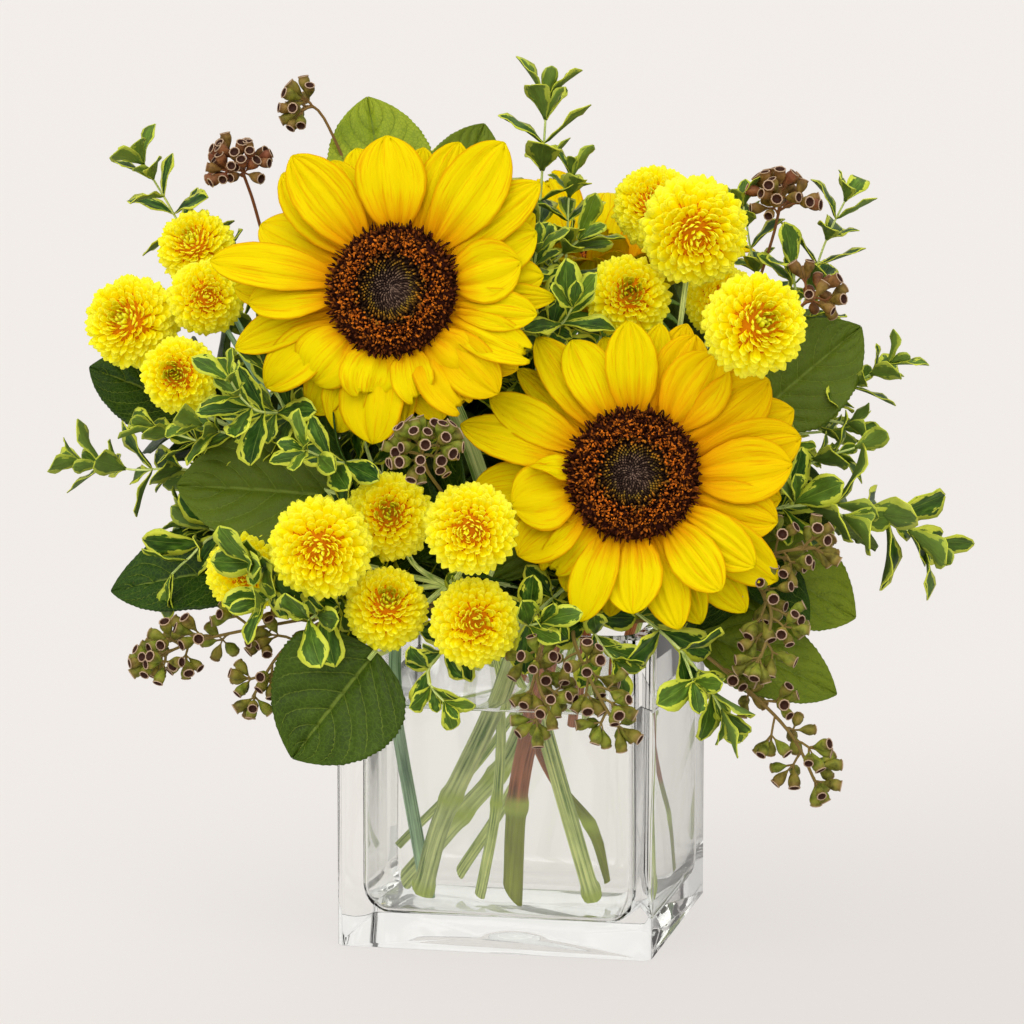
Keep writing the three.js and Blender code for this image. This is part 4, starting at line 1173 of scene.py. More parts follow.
# ---------------------------------------- sunflowers
class Head:
    """A sunflower head's own directions: x to its right, y up, z the way that it faces."""

    def __init__(self, flower):
        self.z = unit(place(flower["faces"]))
        self.x = unit(np.cross(UP, self.z))
        self.y = np.cross(self.z, self.x)
        self.middle = place(flower["head"])

    def way(self, v):
        """A direction in the head's own directions, as one in the frame."""
        v = np.asarray(v, float)
        return v[..., 0:1] * self.x + v[..., 1:2] * self.y + v[..., 2:3] * self.z

    def out(self, places):
        """Places measured from the middle of the head, as places in the frame."""
        return self.middle + self.way(places)

    def leaning(self, turn, rise):
        """A petal's or bract's along and up, where it points outward at a turn and rises to the front."""
        outward = sideways(turn)
        return self.way(swung(outward, UP, rise)), self.way(swung(UP, -outward, rise))


def sideways(turn):
    """The way out from the middle of a head, in its own directions."""
    return np.array([math.cos(turn), math.sin(turn), 0])


# A kind of petal: its master, how it bends, and how its edges stand.
PETAL_KINDS = {
    "smooth": {"master": "smooth", "arch": 0.5, "curl": 0.15, "cup": 0.1},
    "ridged": {"master": "ridged", "arch": 0.32, "curl": 0.1, "cup": -0.04},
    "curled": {"master": "smooth", "arch": 0.9, "curl": 0.9, "cup": -0.14},
    "ragged": {"master": "ragged", "arch": 0.45, "curl": 0.5, "cup": 0.12, "twist": 0.5, "wave": 0.16},
    "twisted": {"master": "smooth", "arch": 0.5, "curl": 0.2, "cup": 0.2, "twist": -1.3, "rise": 0.25},
    "keeled": {"master": "smooth", "arch": 0.35, "curl": 0.1, "fold": 0.28},
}
LAYER_RISE = (0.4, 0.24, 0.08)  # how steeply the petals of each layer rise from the disc's plane
LAYER_ROOT = (-0.6, -2.2, -3.8)  # how far behind that plane they start
PETAL_THICK = 0.045  # as a share of half the width
PETAL_TUCK = 3.0  # how far under the disc's edge petals start
FLORET_SPREAD = 0.95  # share of the disc's radius that its florets fill
BUDS_TO = 0.53  # share of the radius within which they are closed buds
LOBES = 2  # of each open floret
BRACT_RINGS = [(15, 0.8, -8.5, 0.0), (14, 0.62, -12, -0.35)]  # (count, share of the radius, height, rise)
BRACT_SIZE = (23, 9.5)
BACK_DEPTH = 5.2  # how far the back of the petals' ring is behind the disc's plane


def petal_masters():
    """The three outlines that petals have: broad, narrow with deep folds, and torn at the tip."""
    broad = [(0, 0.28), (0.1, 0.46), (0.25, 0.74), (0.42, 0.95), (0.56, 1), (0.7, 0.94), (0.82, 0.77),
             (0.9, 0.57), (0.955, 0.34), (0.985, 0.17), (1, 0.04)]
    narrow = [(0, 0.3), (0.12, 0.55), (0.3, 0.86), (0.5, 1), (0.68, 0.95), (0.82, 0.76), (0.92, 0.48),
              (0.975, 0.24), (1, 0.04)]
    torn = [(0, 0.3), (0.15, 0.6), (0.35, 0.9), (0.55, 1), (0.72, 0.95), (0.86, 0.8), (0.95, 0.6),
            (1, 0.42)]
    soft = [(-0.38, -0.11, 0.1), (0.32, -0.11, 0.1), (0, 0.04, 0.2)]
    deep = [(-0.56, -0.12, 0.1), (-0.2, -0.15, 0.09), (0.2, -0.15, 0.09), (0.56, -0.12, 0.1)]
    smooth = blade_master("Smooth petal", 16, 26, broad, soft, PETAL_THICK)
    ridged = blade_master("Ridged petal", 18, 26, narrow, deep, PETAL_THICK)
    ragged = blade_master("Ragged petal", 16, 26, torn, soft + deep[:2], PETAL_THICK, notch=0.09)
    return {"smooth": Master(smooth), "ridged": Master(ridged), "ragged": Master(ragged)}


def petal(masters, head, disc, shape, cupped, rng):
    """One ray floret's places: its reach is measured from the disc's middle, as seen from the front.

    cupped is how much further the petals of a half-open head rise on the side that it leans to.
    """
    degrees, reach, width, layer, kind = shape
    look = PETAL_KINDS[kind]
    turn = math.radians(degrees)
    rise = LAYER_RISE[layer] + jitter(rng, 0.06) + look.get("rise", 0)
    arch, curl = look["arch"] + jitter(rng, 0.1), look["curl"]
    start = disc - PETAL_TUCK
    gain = float(np.mean(np.cos(rise - bend_of(arch, curl))))
    length = (reach - start) / max(gain, 0.45)
    rise, arch = rise + cupped * (0.75 - 0.2 * math.sin(turn)), arch * (1 - 0.6 * cupped)
    along, up = head.leaning(turn, rise)
    up = swung(up, np.cross(along, up), 0.16 * rng.uniform(0.4, 1.4))
    root = head.out(sideways(turn) * start + UP * LAYER_ROOT[layer])
    return lay_blade(
        masters[look["master"]], root, along, up, length, width, arch, curl, fold=look.get("fold", 0.0),
        cup=look.get("cup", 0.0) + jitter(rng, 0.05), twist=look.get("twist", jitter(rng, 0.12)),
        wave=look.get("wave", 0.05), beat=rng.uniform(0, 6), sway=jitter(rng, 0.05),
    )


DISC_PROFILE = [(0, 2.4), (0.26, 3.0), (0.45, 3.4), (0.6, 4.6), (0.78, 5.2), (0.94, 3.6), (1.0, 1.2)]


def disc_height(share):
    """How high the disc stands at a share of its radius."""
    return float(np.interp(share, *zip(*DISC_PROFILE)))


def bud_master():
    """A closed disc floret: a slim bud that narrows to a point."""
    return Master(turned("Closed disc floret", [(0, 0), (0.5, 0.1), (0.62, 0.4), (0.42, 0.75), (0, 1)], 5))


def spike_master():
    """One lobe of an open disc floret: a curved spike from a four-sided cone."""
    obj = added(bpy.ops.mesh.primitive_cone_add, vertices=4, radius1=0.5, radius2=0.3, depth=0.5,
                location=(0, 0, 0.25))
    bpy.ops.object.transform_apply(location=True)
    start_edit(obj)
    pick(obj, lambda co: co.z > 0.49)
    bpy.ops.mesh.extrude_region_move(TRANSFORM_OT_translate={"value": (0.12, 0, 0.28)})
    bpy.ops.transform.resize(value=(1.15, 1.15, 1))
    bpy.ops.mesh.extrude_region_move(TRANSFORM_OT_translate={"value": (0.25, 0, 0.22)})
    bpy.ops.transform.resize(value=(0.35, 0.35, 1))
    end_edit()
    if not obj.data.uv_layers:
        obj.data.uv_layers.new(name="UVMap")
    for loop in obj.data.loops:
        obj.data.uv_layers[0].data[loop.index].uv = (0.5, obj.data.vertices[loop.vertex_index].co.z)
    return Master(obj)


def upright(master, root, along, width, length, spin):
    """A copy that stands from its root along a direction, turned about it by spin."""
    a = swung(*across_of(along), spin)
    b = np.cross(along, a)
    x, y, z = (master.places[:, k:k + 1] for k in range(3))
    return root + x * width * a + y * width * b + z * length * along


def sunflower_disc(flower, head, count, masters, finish):
    """A base with florets in a spiral: closed buds in the middle, open fuzzy ones round them."""
    rng = np.random.default_rng(71 + len(flower["name"]))
    heap = Heap()
    base, bud, spike = masters
    radius = flower["disc"]
    rings = np.hypot(base.places[:, 0], base.places[:, 1])
    heap.add(base, head.out(base.places * np.array([radius, radius, 1])), 0.1, rings)
    for i in range(count):
        share = math.sqrt((i + 0.5) / count)
        turn = spiral_turn(i)
        outward = sideways(turn)
        root = head.out(outward * share * radius * FLORET_SPREAD + UP * (disc_height(share) - 0.5))
        tint = rng.uniform(0, 1)
        if share < BUDS_TO:
            along = head.way(unit(-outward * (0.75 - 0.5 * share) + UP))
            wide, tall = 0.72 + 0.4 * share, 2.4 + 1.5 * share + 0.6 * tint
            heap.add(bud, upright(bud, root, along, wide, tall, turn), tint, share)
            continue
        lean = 0.1 + 1.1 * ease(0.86, 1, share)
        for _ in range(LOBES):
            along = head.way(unit(outward * lean + UP + rng.normal(0, 0.45, 3)))
            tall = 2.8 + jitter(rng, 1.4) + 1.3 * ease(0.9, 1, share)
            wide = 1.3 + jitter(rng, 0.45)
            laid = upright(spike, root, along, wide, tall, rng.uniform(0, 6.3))
            heap.add(spike, laid, rng.uniform(0, 1), share)
    piece = heap.piece("Disc_" + flower["name"], [finish])
    hand_over(piece, "disc", f"sunflower_{flower['name']}_disc")


def sunflower_stem(flower, head, bract, line, finishes):
    """The stem, the green back of the head and its pointed bracts."""
    rng = np.random.default_rng(17 + len(flower["name"]))
    heap = Heap()
    add_stalk(heap, line, flower, 12, 3, lean=-DEPTH - UP, slope=0.8)
    disc = flower["disc"]
    profile = [(0, -BACK_DEPTH), (0.86, -BACK_DEPTH), (0.93, -6.5), (0.86, -9.5), (0.6, -13.5), (0.34, -17),
               (0.2, -21), (0, -21)]
    back = Master(turned("Back of the head", [(r * disc, z) for r, z in profile], 28))
    heap.add(back, head.out(back.places), 0.3, finish=1)
    long, wide = BRACT_SIZE
    for ring, (count, radius, height, rise) in enumerate(BRACT_RINGS):
        for i in range(count):
            turn = (i + 0.5 * ring + jitter(rng, 0.25)) / count * 2 * math.pi
            along, up = head.leaning(turn, rise + jitter(rng, 0.12))
            root = head.out(sideways(turn) * radius * disc + UP * height)
            laid = lay_blade(bract, root, along, up, long + jitter(rng, 3), wide, 0.3, 0.6, fold=0.2)
            heap.add(bract, laid, rng.uniform(0, 1), finish=1)
    piece = heap.piece("Stem_of_sunflower_" + flower["name"], finishes)
    hand_over(piece, "sunflower_stem", f"sunflower_{flower['name']}_stem")


def sunflower_petals(flower, head, masters, finish, number):
    """The petals, round a plain ring that closes the gap behind the disc."""
    rng = np.random.default_rng(5 + number)
    heap = Heap()
    low, high = flower["gold"]
    disc = flower["disc"]
    profile = [(0, -BACK_DEPTH), (0.95, -BACK_DEPTH), (0.98, -2.6), (0.9, -0.9), (0, -0.9)]
    ring = Master(turned("Petal ring", profile, 30))
    heap.add(ring, head.out(ring.places * np.array([disc, disc, 1])), 0.5, 1.0)
    for shape in flower["petals"]:
        turn = (shape[0] + 180) % 360 - 180
        deep = low <= shape[0] <= high or low <= turn <= high
        gold = np.clip((0.85 if deep else 0.12) + jitter(rng, 0.15), 0, 1)
        laid = petal(masters, head, disc, shape, flower.get("cupped", 0.0), rng)
        heap.add(masters[PETAL_KINDS[shape[4]]["master"]], laid, rng.uniform(0, 1), gold)
    piece = heap.piece("Petals_" + flower["name"], [finish])
    hand_over(piece, "petal", f"sunflower_{flower['name']}_petals")


def sunflower_line(flower, head):
    """The stem's line, which reaches the head from straight behind it."""
    return Line([*[place(p) for p in flower["stem"]], head.out([0, 0, -30]), head.out([0, 0, -16])])


class BOUQUET_OT_sunflowers(bpy.types.Operator):
    """Adds the three sunflowers: petals, disc and stem of each"""
    bl_idname = "bouquet.sunflowers"
    bl_label = "Add Sunflowers"

    def execute(self, context):
        flowers = context.scene.bouquet_flowers
        finish = petal_finish(fibre_effect(), flowers)
        dark = disc_finish()
        skins = stem_finishes()
        masters = petal_masters()
        base = Master(turned("Disc base", [*DISC_PROFILE, (0.9, -0.7), (0, -0.7)], 40))
        florets = (base, bud_master(), spike_master())
        tongue = [(0, 0.8), (0.2, 1), (0.45, 0.86), (0.7, 0.5), (0.9, 0.2), (1, 0.03)]
        bract = Master(blade_master("Bract", 6, 12, tongue, [(0, 0.08, 0.3)], 0.12))
        for number, flower in enumerate(SUNFLOWERS):
            head = Head(flower)
            line = sunflower_line(flower, head)
            sunflower_petals(flower, head, masters, finish, number)
            sunflower_disc(flower, head, flowers.disc_florets, florets, dark)
            sunflower_stem(flower, head, bract, line, [skins[flower["cut"]], skins["bract"]])
        return {"FINISHED"}


# ---------------------------------------- button chrysanthemums
BRANCH_RADIUS = 1.1
CORE_SHARE, ROOT_SHARE = 0.7, 0.5  # of the head's radius: its solid core, and where its florets start
LAST_FLORET = math.radians(158)  # florets cover the head from its crown to this angle


def spray_lines(spray):
    """The trunk and the branch to each head."""
    trunk = trunk_of(spray)
    fork, before = spray["trunk"][-1], spray["trunk"][-2]
    branches = []
    for x, y, z, radius, _, _, _, via in spray["heads"]:
        middle = place([x, y, z])
        rise = place(via or [fork[0] * 0.45 + x * 0.55, (fork[1] + y) / 2, (fork[2] + z) / 2 - 6])
        reached = middle + unit(rise - middle) * radius * 0.55
        start = place(fork) * 0.98 + place(before) * 0.02
        branches.append(Line([start, rise, reached]))
    return trunk, branches


def crown_of(head):
    """The way that the middle of a head's florets looks."""
    x, _, _, _, across, up, _, _ = head
    if across is None:  # it stands at the back and isn't in the photo
        return unit(x * 0.004 * ACROSS + 0.8 * DEPTH + 0.55 * UP)
    depth = -math.sqrt(max(0.05, 1 - across**2 - up**2))
    return unit(across * ACROSS + depth * DEPTH + up * UP)


def floret_master():
    """A spoon-shaped floret: a grid, cupped lengthwise and rounded at its tip."""
    spoon = [(0, 0.5), (0.4, 0.66), (0.66, 0.9), (0.82, 1), (0.92, 0.86), (0.975, 0.56), (1, 0.22)]
    return Master(blade_master("Floret", 2, 6, spoon, [(0, -0.42, 0.5)], 0.12))


def button_head(heap, floret, core, head, count, rng):
    """A ball of florets in a spiral from its crown, upright in the middle and laid back outside."""
    x, y, z, radius, _, _, green, _ = head
    middle, crown = place([x, y, z]), crown_of(head)
    heap.add(core, middle + core.places * radius * CORE_SHARE, 0.0, 0.0)
    sides = across_of(crown)
    angles = np.linspace(0, LAST_FLORET, 200)
    crowd = np.sin(angles) * (1 - 0.6 * ease(0, 2.4, angles))
    crowd = np.cumsum(crowd) / crowd.sum()
    for i in range(count):
        polar = float(np.interp((i + 0.5) / count, crowd, angles))
        outward = swung(*sides, spiral_turn(i))
        way, away = swung(crown, outward, polar), swung(outward, -crown, polar)
        tilt = -0.05 + 0.95 * ease(0.2, 1.6, polar) + jitter(rng, 0.14)
        along, up = unit(swung(way, away, tilt)), unit(swung(-away, way, tilt))
        along = unit(along + np.cross(along, up) * jitter(rng, 0.2))
        up = square_to(along, up)
        root = middle + way * radius * ROOT_SHARE
        dip = 0.1 * math.exp(-(polar / 0.35) ** 2)
        tip = radius * (1.0 + jitter(rng, 0.06) - dip)
        off = root - middle
        before = np.dot(off, along)
        # The floret ends on a ball round the middle, on which all tips lie.
        reach = -before + math.sqrt(max(before**2 + tip**2 - np.dot(off, off), 1))
        wide = radius * (0.1 + 0.085 * ease(0.1, 1.1, polar)) * (1 + jitter(rng, 0.12))
        heart = green * (1 - ease(0.12, 0.5, polar)) if green else 0.0
        laid = lay_blade(floret, root, along, up, reach, wide, 0.05, -0.5, twist=jitter(rng, 0.3))
        heap.add(floret, laid, rng.uniform(0, 1), heart)


class BOUQUET_OT_buttons(bpy.types.Operator):
    """Adds the sprays of button chrysanthemums: forked stems and round heads"""
    bl_idname = "bouquet.buttons"
    bl_label = "Add Button Chrysanthemums"

    def execute(self, context):
        flowers = context.scene.bouquet_flowers
        finish = pompon_finish(flowers)
        skins = stem_finishes()
        floret = floret_master()
        core = Master(added(bpy.ops.mesh.primitive_ico_sphere_add, subdivisions=3, radius=1))
        # Painted shade: the core takes the dark orange of the floret roots, partly shade deep in the head.
        core.uv[:] = 0.0  # all of it has the colour of a floret's root
        for spray in POMPON_SPRAYS:
            rng = np.random.default_rng(400 + len(spray["heads"]))
            for number, head in enumerate(spray["heads"]):
                heap = Heap()
                button_head(heap, floret, core, head, flowers.button_florets, rng)
                piece = heap.piece(f"Button_{spray['name']}_{number + 1}", [finish])
                hand_over(piece, "button_bloom", f"pompon_{spray['name']}_{number + 1}")
            heap = Heap()
            trunk, branches = spray_lines(spray)
            add_stalk(heap, trunk, spray, 12, 3, taper=0.8, lean=ACROSS - DEPTH, slope=0.8)
            for line in branches:
                add_twig(heap, line, BRANCH_RADIUS, 8, 4)
            piece = heap.piece("Stem_of_buttons_" + spray["name"], [skins[spray["cut"]]])
            hand_over(piece, "button_stem", f"pompon_stem_{spray['name']}")
        return {"FINISHED"}


# ---------------------------------------- foliage
SHOOT_RADIUS = 0.8
LEAF_TURNS = np.radians([0, 25, -25, 50, -50, 80, -80])  # tried one after the other, until there is room
BOUQUET_HEART = np.array([0.0, 0.0, 165.0])
HEAD_REACH, SHOWN_REACH = 62, 60  # radius that a sunflower fills, and that leaves leave in sight
HEAD_RINGS = 8
TWIG_SHARES = (0.3, 0.4, 0.5, 0.6)  # where side twigs leave a shoot, as shares of its length
TWIG_TRIES = 9


def trunk_of(plant):
    """The line of a plant's main stem."""
    return Line([place(p) for p in plant["trunk"]])


def shoot_lines(plant, first_point):
    """The trunk, and a line for each shoot or broad leaf: they leave it one below the other."""
    trunk = trunk_of(plant)
    key = "leaves" if "leaves" in plant else "shoots"
    lines = []
    for order, shoot in enumerate(plant[key]):
        start = trunk.point(0.98 - 0.02 * order)
        if key == "leaves":
            base, tip = place(shoot[0]), place(shoot[1])
            stalk = [place(p) for p in shoot[first_point:]]
            lines.append(Line([start, *stalk, base, base + unit(tip - base) * 4]))
        else:
            lines.append(Line([start, *[place(p) for p in shoot[first_point:]]]))
    return trunk, lines


def fill_room():
    """Takes the room of everything that leaves must keep clear of."""
    for flower in SUNFLOWERS:
        head = Head(flower)
        owner = "sunflower " + flower["name"]
        room.show(head.middle, SHOWN_REACH)
        room.take(sunflower_line(flower, head).path, flower["thick"] + 0.6, owner)
        for ring in range(1, HEAD_RINGS + 1):
            radius = HEAD_REACH * ring / HEAD_RINGS
            height = 2 + 9 * ease(25, HEAD_REACH, radius) if radius > 25 else 0
            count = max(int(radius / 1.1), 6)
            turns = np.linspace(0, 2 * math.pi, count, endpoint=False)
            heights = np.full(count, height)
            ringed = np.stack([radius * np.cos(turns), radius * np.sin(turns), heights], axis=1)
            room.take(head.out(ringed), 5.5, owner)
    for spray in POMPON_SPRAYS:
        owner = "buttons " + spray["name"]
        room.take(trunk_of(spray).path, spray["thick"] + 0.5, owner)
        for head in spray["heads"]:
            room.take(place(head[:3]), head[3] + 0.5, owner)
            room.show(place(head[:3]), head[3] * (0.5 if head[0] in VEILED else 1))
    for kind, plants in (("variegated", VARIEGATED), ("seeded", SEEDED), ("broad", LEMON_LEAF)):
        for plant in plants:
            room.take(trunk_of(plant).path, plant["thick"] + 0.4, f"{kind} {plant['name']}")
    for plant in LEMON_LEAF:
        for leaf in plant["leaves"]:
            take_broad_leaf(broad_shape(leaf), "broad " + plant["name"])


def take_broad_leaf(shape, owner):
    """Keeps a broad leaf in sight, and takes the room of its blade in rows across it."""
    side = np.cross(shape["along"], shape["up"])
    for share in (0.3, 0.5, 0.7):
        room.show(shape["root"] + shape["along"] * shape["length"] * share, 0.36 * shape["width"])
    for share in np.linspace(0.15, 1, 8):
        wide = 0.45 * math.sin(math.pi * share**0.8) ** 0.75
        middle = shape["root"] + shape["along"] * shape["length"] * share
        middle = middle - shape["up"] * shape["length"] * 0.25 * share**2 / 2
        row = [middle + side * shape["width"] * wide * w for w in (-1, -0.5, 0, 0.5, 1)]
        room.take(np.array(row), 2.2, owner)


def small_leaf_master():
    """A small oval leaf, widest beyond its middle, with a fold along its midrib."""
    oval = [(0, 0.12), (0.09, 0.18), (0.22, 0.44), (0.38, 0.76), (0.54, 0.95), (0.67, 1), (0.8, 0.9),
            (0.9, 0.66), (0.965, 0.36), (1, 0.08)]
    return Master(blade_master("Small leaf", 4, 9, oval, [(0, -0.12, 0.3)], 0.06))


def outward_of(spot):
    """The way that a leaf's upper face turns to the light: out of the bouquet and up."""
    return unit(spot - BOUQUET_HEART + np.array([0, 0, 50.0]))


def small_leaf(heap, leaf, owner, spot, tangent, turn, spread, length, late, aside, rng):
    """One leaf that grows from a twig, where there is room for it.

    late is 1 for the youngest leaves of a twig. A larger aside keeps the leaf further from the blooms.
    """
    sides = across_of(tangent)
    width = length * (0.52 + jitter(rng, 0.06))
    arch = 0.4 + jitter(rng, 0.3)
    for extra in LEAF_TURNS:
        out = swung(*sides, turn + extra)
        along = swung(tangent, out, spread)
        up = square_to(along, swung(-out, tangent, spread) + 1.3 * outward_of(spot))
        spots = blade_spots(spot, along, up, length, width, arch)
        if room.free(spots, 0.5, owner) and not room.hides(spots, aside):
            break
    else:
        return
    room.take(spots[::2], 0.6, owner + " leaf")
    places = lay_blade(
        leaf, spot, along, up, length, width, arch, curl=0.25 * rng.uniform(-0.5, 1),
        fold=0.16 + jitter(rng, 0.1), cup=jitter(rng, 0.1), twist=jitter(rng, 0.35), wave=0.18,
        beat=rng.uniform(0, 6), sway=jitter(rng, 0.1),
    )
    heap.add(leaf, places, rng.uniform(0, 1), late * rng.uniform(0.3, 1), finish=0, under=1)


def leafy_twig(heap, leaf, owner, line, size, pitch, rng, bare=0.0, aside=0.75):
    """A twig with pairs of leaves, each pair turned a quarter from the last, closer at its tip."""
    reach = line.length - 0.75 * size
    add_twig(heap, line, SHOOT_RADIUS, 6, 5, finish=2, taper=0.55, stop=reach)
    room.take(line.path[::3], SHOOT_RADIUS + 0.3, owner)
    pairs = int((reach - line.length * bare) / pitch)
    for i in range(pairs + 1):
        left = pairs - i
        spot, tangent = line.along(reach - left * pitch * (1 - 0.25 * ease(5, 0, left)) - 0.5)
        clear = aside if left > 3 else 0.45 * aside
        late = float(ease(3, -0.5, left))
        for side in (0, 1):
            turn = i * math.pi / 2 + side * math.pi + jitter(rng, 0.4)
            spread = 0.95 - 0.45 * late + jitter(rng, 0.16)
            length = 1.2 * size * (1 - 0.15 * late) * (1 + jitter(rng, 0.12))
            small_leaf(heap, leaf, owner, spot, tangent, turn, spread, length, late, clear, rng)
            if rng.uniform(0, 1) < 0.2 + 0.5 * late:  # a still smaller leaf between the two
                between = turn + math.pi / 2
                small_leaf(heap, leaf, owner, spot + tangent, tangent, between, 0.7 * spread, 0.66 * length,
                           0.7, clear, rng)


def variegated_branch(plant, leaf, pitch, finishes, number):
    """A forked branch: its trunk, its leafy shoots and the side twigs that there is room for."""
    rng = np.random.default_rng(900 + number)
    owner = "variegated " + plant["name"]
    heap = Heap()
    trunk, lines = shoot_lines(plant, 1)
    add_stalk(heap, trunk, plant, 8, 4, finish=2)
    for (size, *_), line in zip(plant["shoots"], lines):
        leafy_twig(heap, leaf, owner, line, size, pitch, rng)
        for share in plant.get("twigs", TWIG_SHARES):
            spot, tangent = line.along(line.length * share)
            sides = across_of(tangent)
            for turn in rng.uniform(0, 2 * math.pi, TWIG_TRIES):
                out = swung(*sides, turn)
                tip = spot + (tangent * 0.75 + out) * rng.uniform(18, 30) + outward_of(spot) * 6
                middle = (spot + tip) / 2 + tangent * 2 - UP * 1.5
                ends = np.array([middle, tip])
                if room.free(ends, 4.0, owner) and not room.hides(ends, 1.2) and tip[2] > spot[2] - 12:
                    twig = Line([spot, middle, tip])
                    leafy_twig(heap, leaf, owner, twig, size * 0.95, pitch, rng, bare=0.3, aside=1.1)
                    break
    piece = heap.piece("Variegated_" + plant["name"], finishes)
    hand_over(piece, "variegated", "variegated_" + plant["name"])


def nut_master():
    """A gum nut: an urn on a short neck, with a flared lip round a sunk mouth."""
    profile = [(0, 0), (0.07, 0.01), (0.1, 0.1), (0.19, 0.26), (0.29, 0.45), (0.345, 0.64), (0.34, 0.78),
               (0.3, 0.88), (0.32, 0.95), (0.34, 0.985), (0.31, 1.005), (0.25, 0.985), (0.21, 0.9),
               (0.13, 0.84), (0, 0.82)]
    return Master(turned("Gum nut", profile, 9))


NUT_LENGTH, NUT_MIDDLE = 7.2, 3.5
TWIG_RADIUS, SIDE_TWIG_RADIUS, NUT_STALK_RADIUS = 0.9, 0.55, 0.42
KNOT_TURN = 2.4  # each side twig leaves its shoot this far round from the last


def nut_cluster(heap, nut, owner, fork, way, nuts, red, at_tip, rng):
    """A ring of nuts on short stalks round a side twig's end, with one in its middle at a shoot's tip."""
    sides = across_of(way)
    for k in range(nuts + (1 if at_tip else 0)):
        splay = 0.0 if (at_tip and k == nuts) else 0.75 + jitter(rng, 0.3)
        spin = 2 * math.pi * k / nuts + jitter(rng, 0.5)
        along = unit(swung(way, swung(*sides, spin), splay))
        stalk_end = fork + along * (1.6 + 1.8 * rng.uniform(0, 1))
        long = NUT_LENGTH * (1 + jitter(rng, 0.1))
        ends = np.array([stalk_end + along * NUT_MIDDLE, stalk_end + along * long])
        if not room.free(ends, 1.0, owner):
            continue
        room.take(ends, 1.3, owner + " nut")
        stalk = Line([fork - along * 0.4, fork + along * 0.6, stalk_end + along * 0.6])
        add_twig(heap, stalk, NUT_STALK_RADIUS, 4, 2, red, finish=2)
        laid = upright(nut, stalk_end, along, long * 0.94, long, rng.uniform(0, 6))
        heap.add(nut, laid, rng.uniform(0, 1), np.clip(red + jitter(rng, 0.25), 0, 1))


def seeded_branch(plant, nut, finishes, number):
    """A branch whose shoots are bare for a share of their length, and then bear clusters of nuts."""
    rng = np.random.default_rng(1300 + number)
    owner = "seeded " + plant["name"]
    heap = Heap()
    trunk, lines = shoot_lines(plant, 4)
    add_stalk(heap, trunk, plant, 10, 3, finish=1)
    for (bare, knots, nuts, red, *_), line in zip(plant["shoots"], lines):
        add_twig(heap, line, TWIG_RADIUS, 6, 4, red, finish=2, taper=0.7, stop=line.length - 6)
        for i in range(knots):
            reach = line.distance_of(bare + (1 - bare) * (i + 0.6) / knots)
            spot, tangent = line.along(min(reach, line.length) - 6)
            out = swung(*across_of(tangent), i * KNOT_TURN + jitter(rng, 0.5))
            at_tip = i == knots - 1
            way = unit(tangent * (3.0 if at_tip else 0.7) + out)
            fork = spot + way * (2.0 if at_tip else 5.0 + 3.0 * rng.uniform(0, 1))
            if not room.free(fork[None], 0.8, owner):
                continue
            room.show(fork, 6)
            side_twig = Line([spot, (spot + fork) / 2 + UP * 0.4, fork])
            add_twig(heap, side_twig, SIDE_TWIG_RADIUS, 4, 3, red, finish=2)
            nut_cluster(heap, nut, owner, fork, way, nuts, red, at_tip, rng)
    piece = heap.piece("Seeded_" + plant["name"], finishes)
    hand_over(piece, "seeded", "seeded_" + plant["name"])


def broad_master(cells):
    """A broad oval leaf with a toothed margin, sunk veins and skin that bulges between them."""
    oval = [(0, 0.1), (0.02, 0.3), (0.06, 0.56), (0.13, 0.79), (0.24, 0.96), (0.36, 1), (0.5, 0.965),
            (0.64, 0.85), (0.77, 0.66), (0.87, 0.44), (0.94, 0.24), (0.98, 0.1), (1, 0.02)]
    leaf = Master(blade_master("Broad leaf", *cells, oval, thick=0.035, teeth=0.012))
    x, y = leaf.places[:, 0], leaf.places[:, 1]
    wide = np.interp(y, *zip(*oval))
    out = np.clip(np.abs(x) / np.maximum(wide, NARROWEST), 0, 1)
    beat = (y - VEIN_SLANT * out**1.25) * VEIN_PAIRS
    gap = np.abs(beat - np.floor(beat) - 0.5)
    fade = ease(0.0, 0.08, y) * (1 - ease(0.85, 1, y)) * (1 - ease(0.7, 1, out))
    leaf.places[:, 2] -= 0.055 * np.exp(-((gap / 0.1) ** 2)) * fade
    leaf.places[:, 2] -= 0.09 * np.exp(-((out / 0.06) ** 2)) * ease(0.0, 0.05, y)
    return leaf


INNER_PITCH = 6.0
INNER_LENGTHS = (50, 46, 42, 38, 34, 30, 26, 22)
LEAF_STALK_RADIUS = 1.0


def broad_shape(leaf):
    """Where a broad leaf of the table lies: the values that lay_blade takes."""
    base, tip, width, faces = leaf[:4]
    root = place(base)
    along = place(tip) - root
    length = float(np.linalg.norm(along))
    along = along / length
    side = unit(np.cross(along, place(faces)))
    return {"root": root, "along": along, "up": np.cross(side, along), "length": length, "width": width}


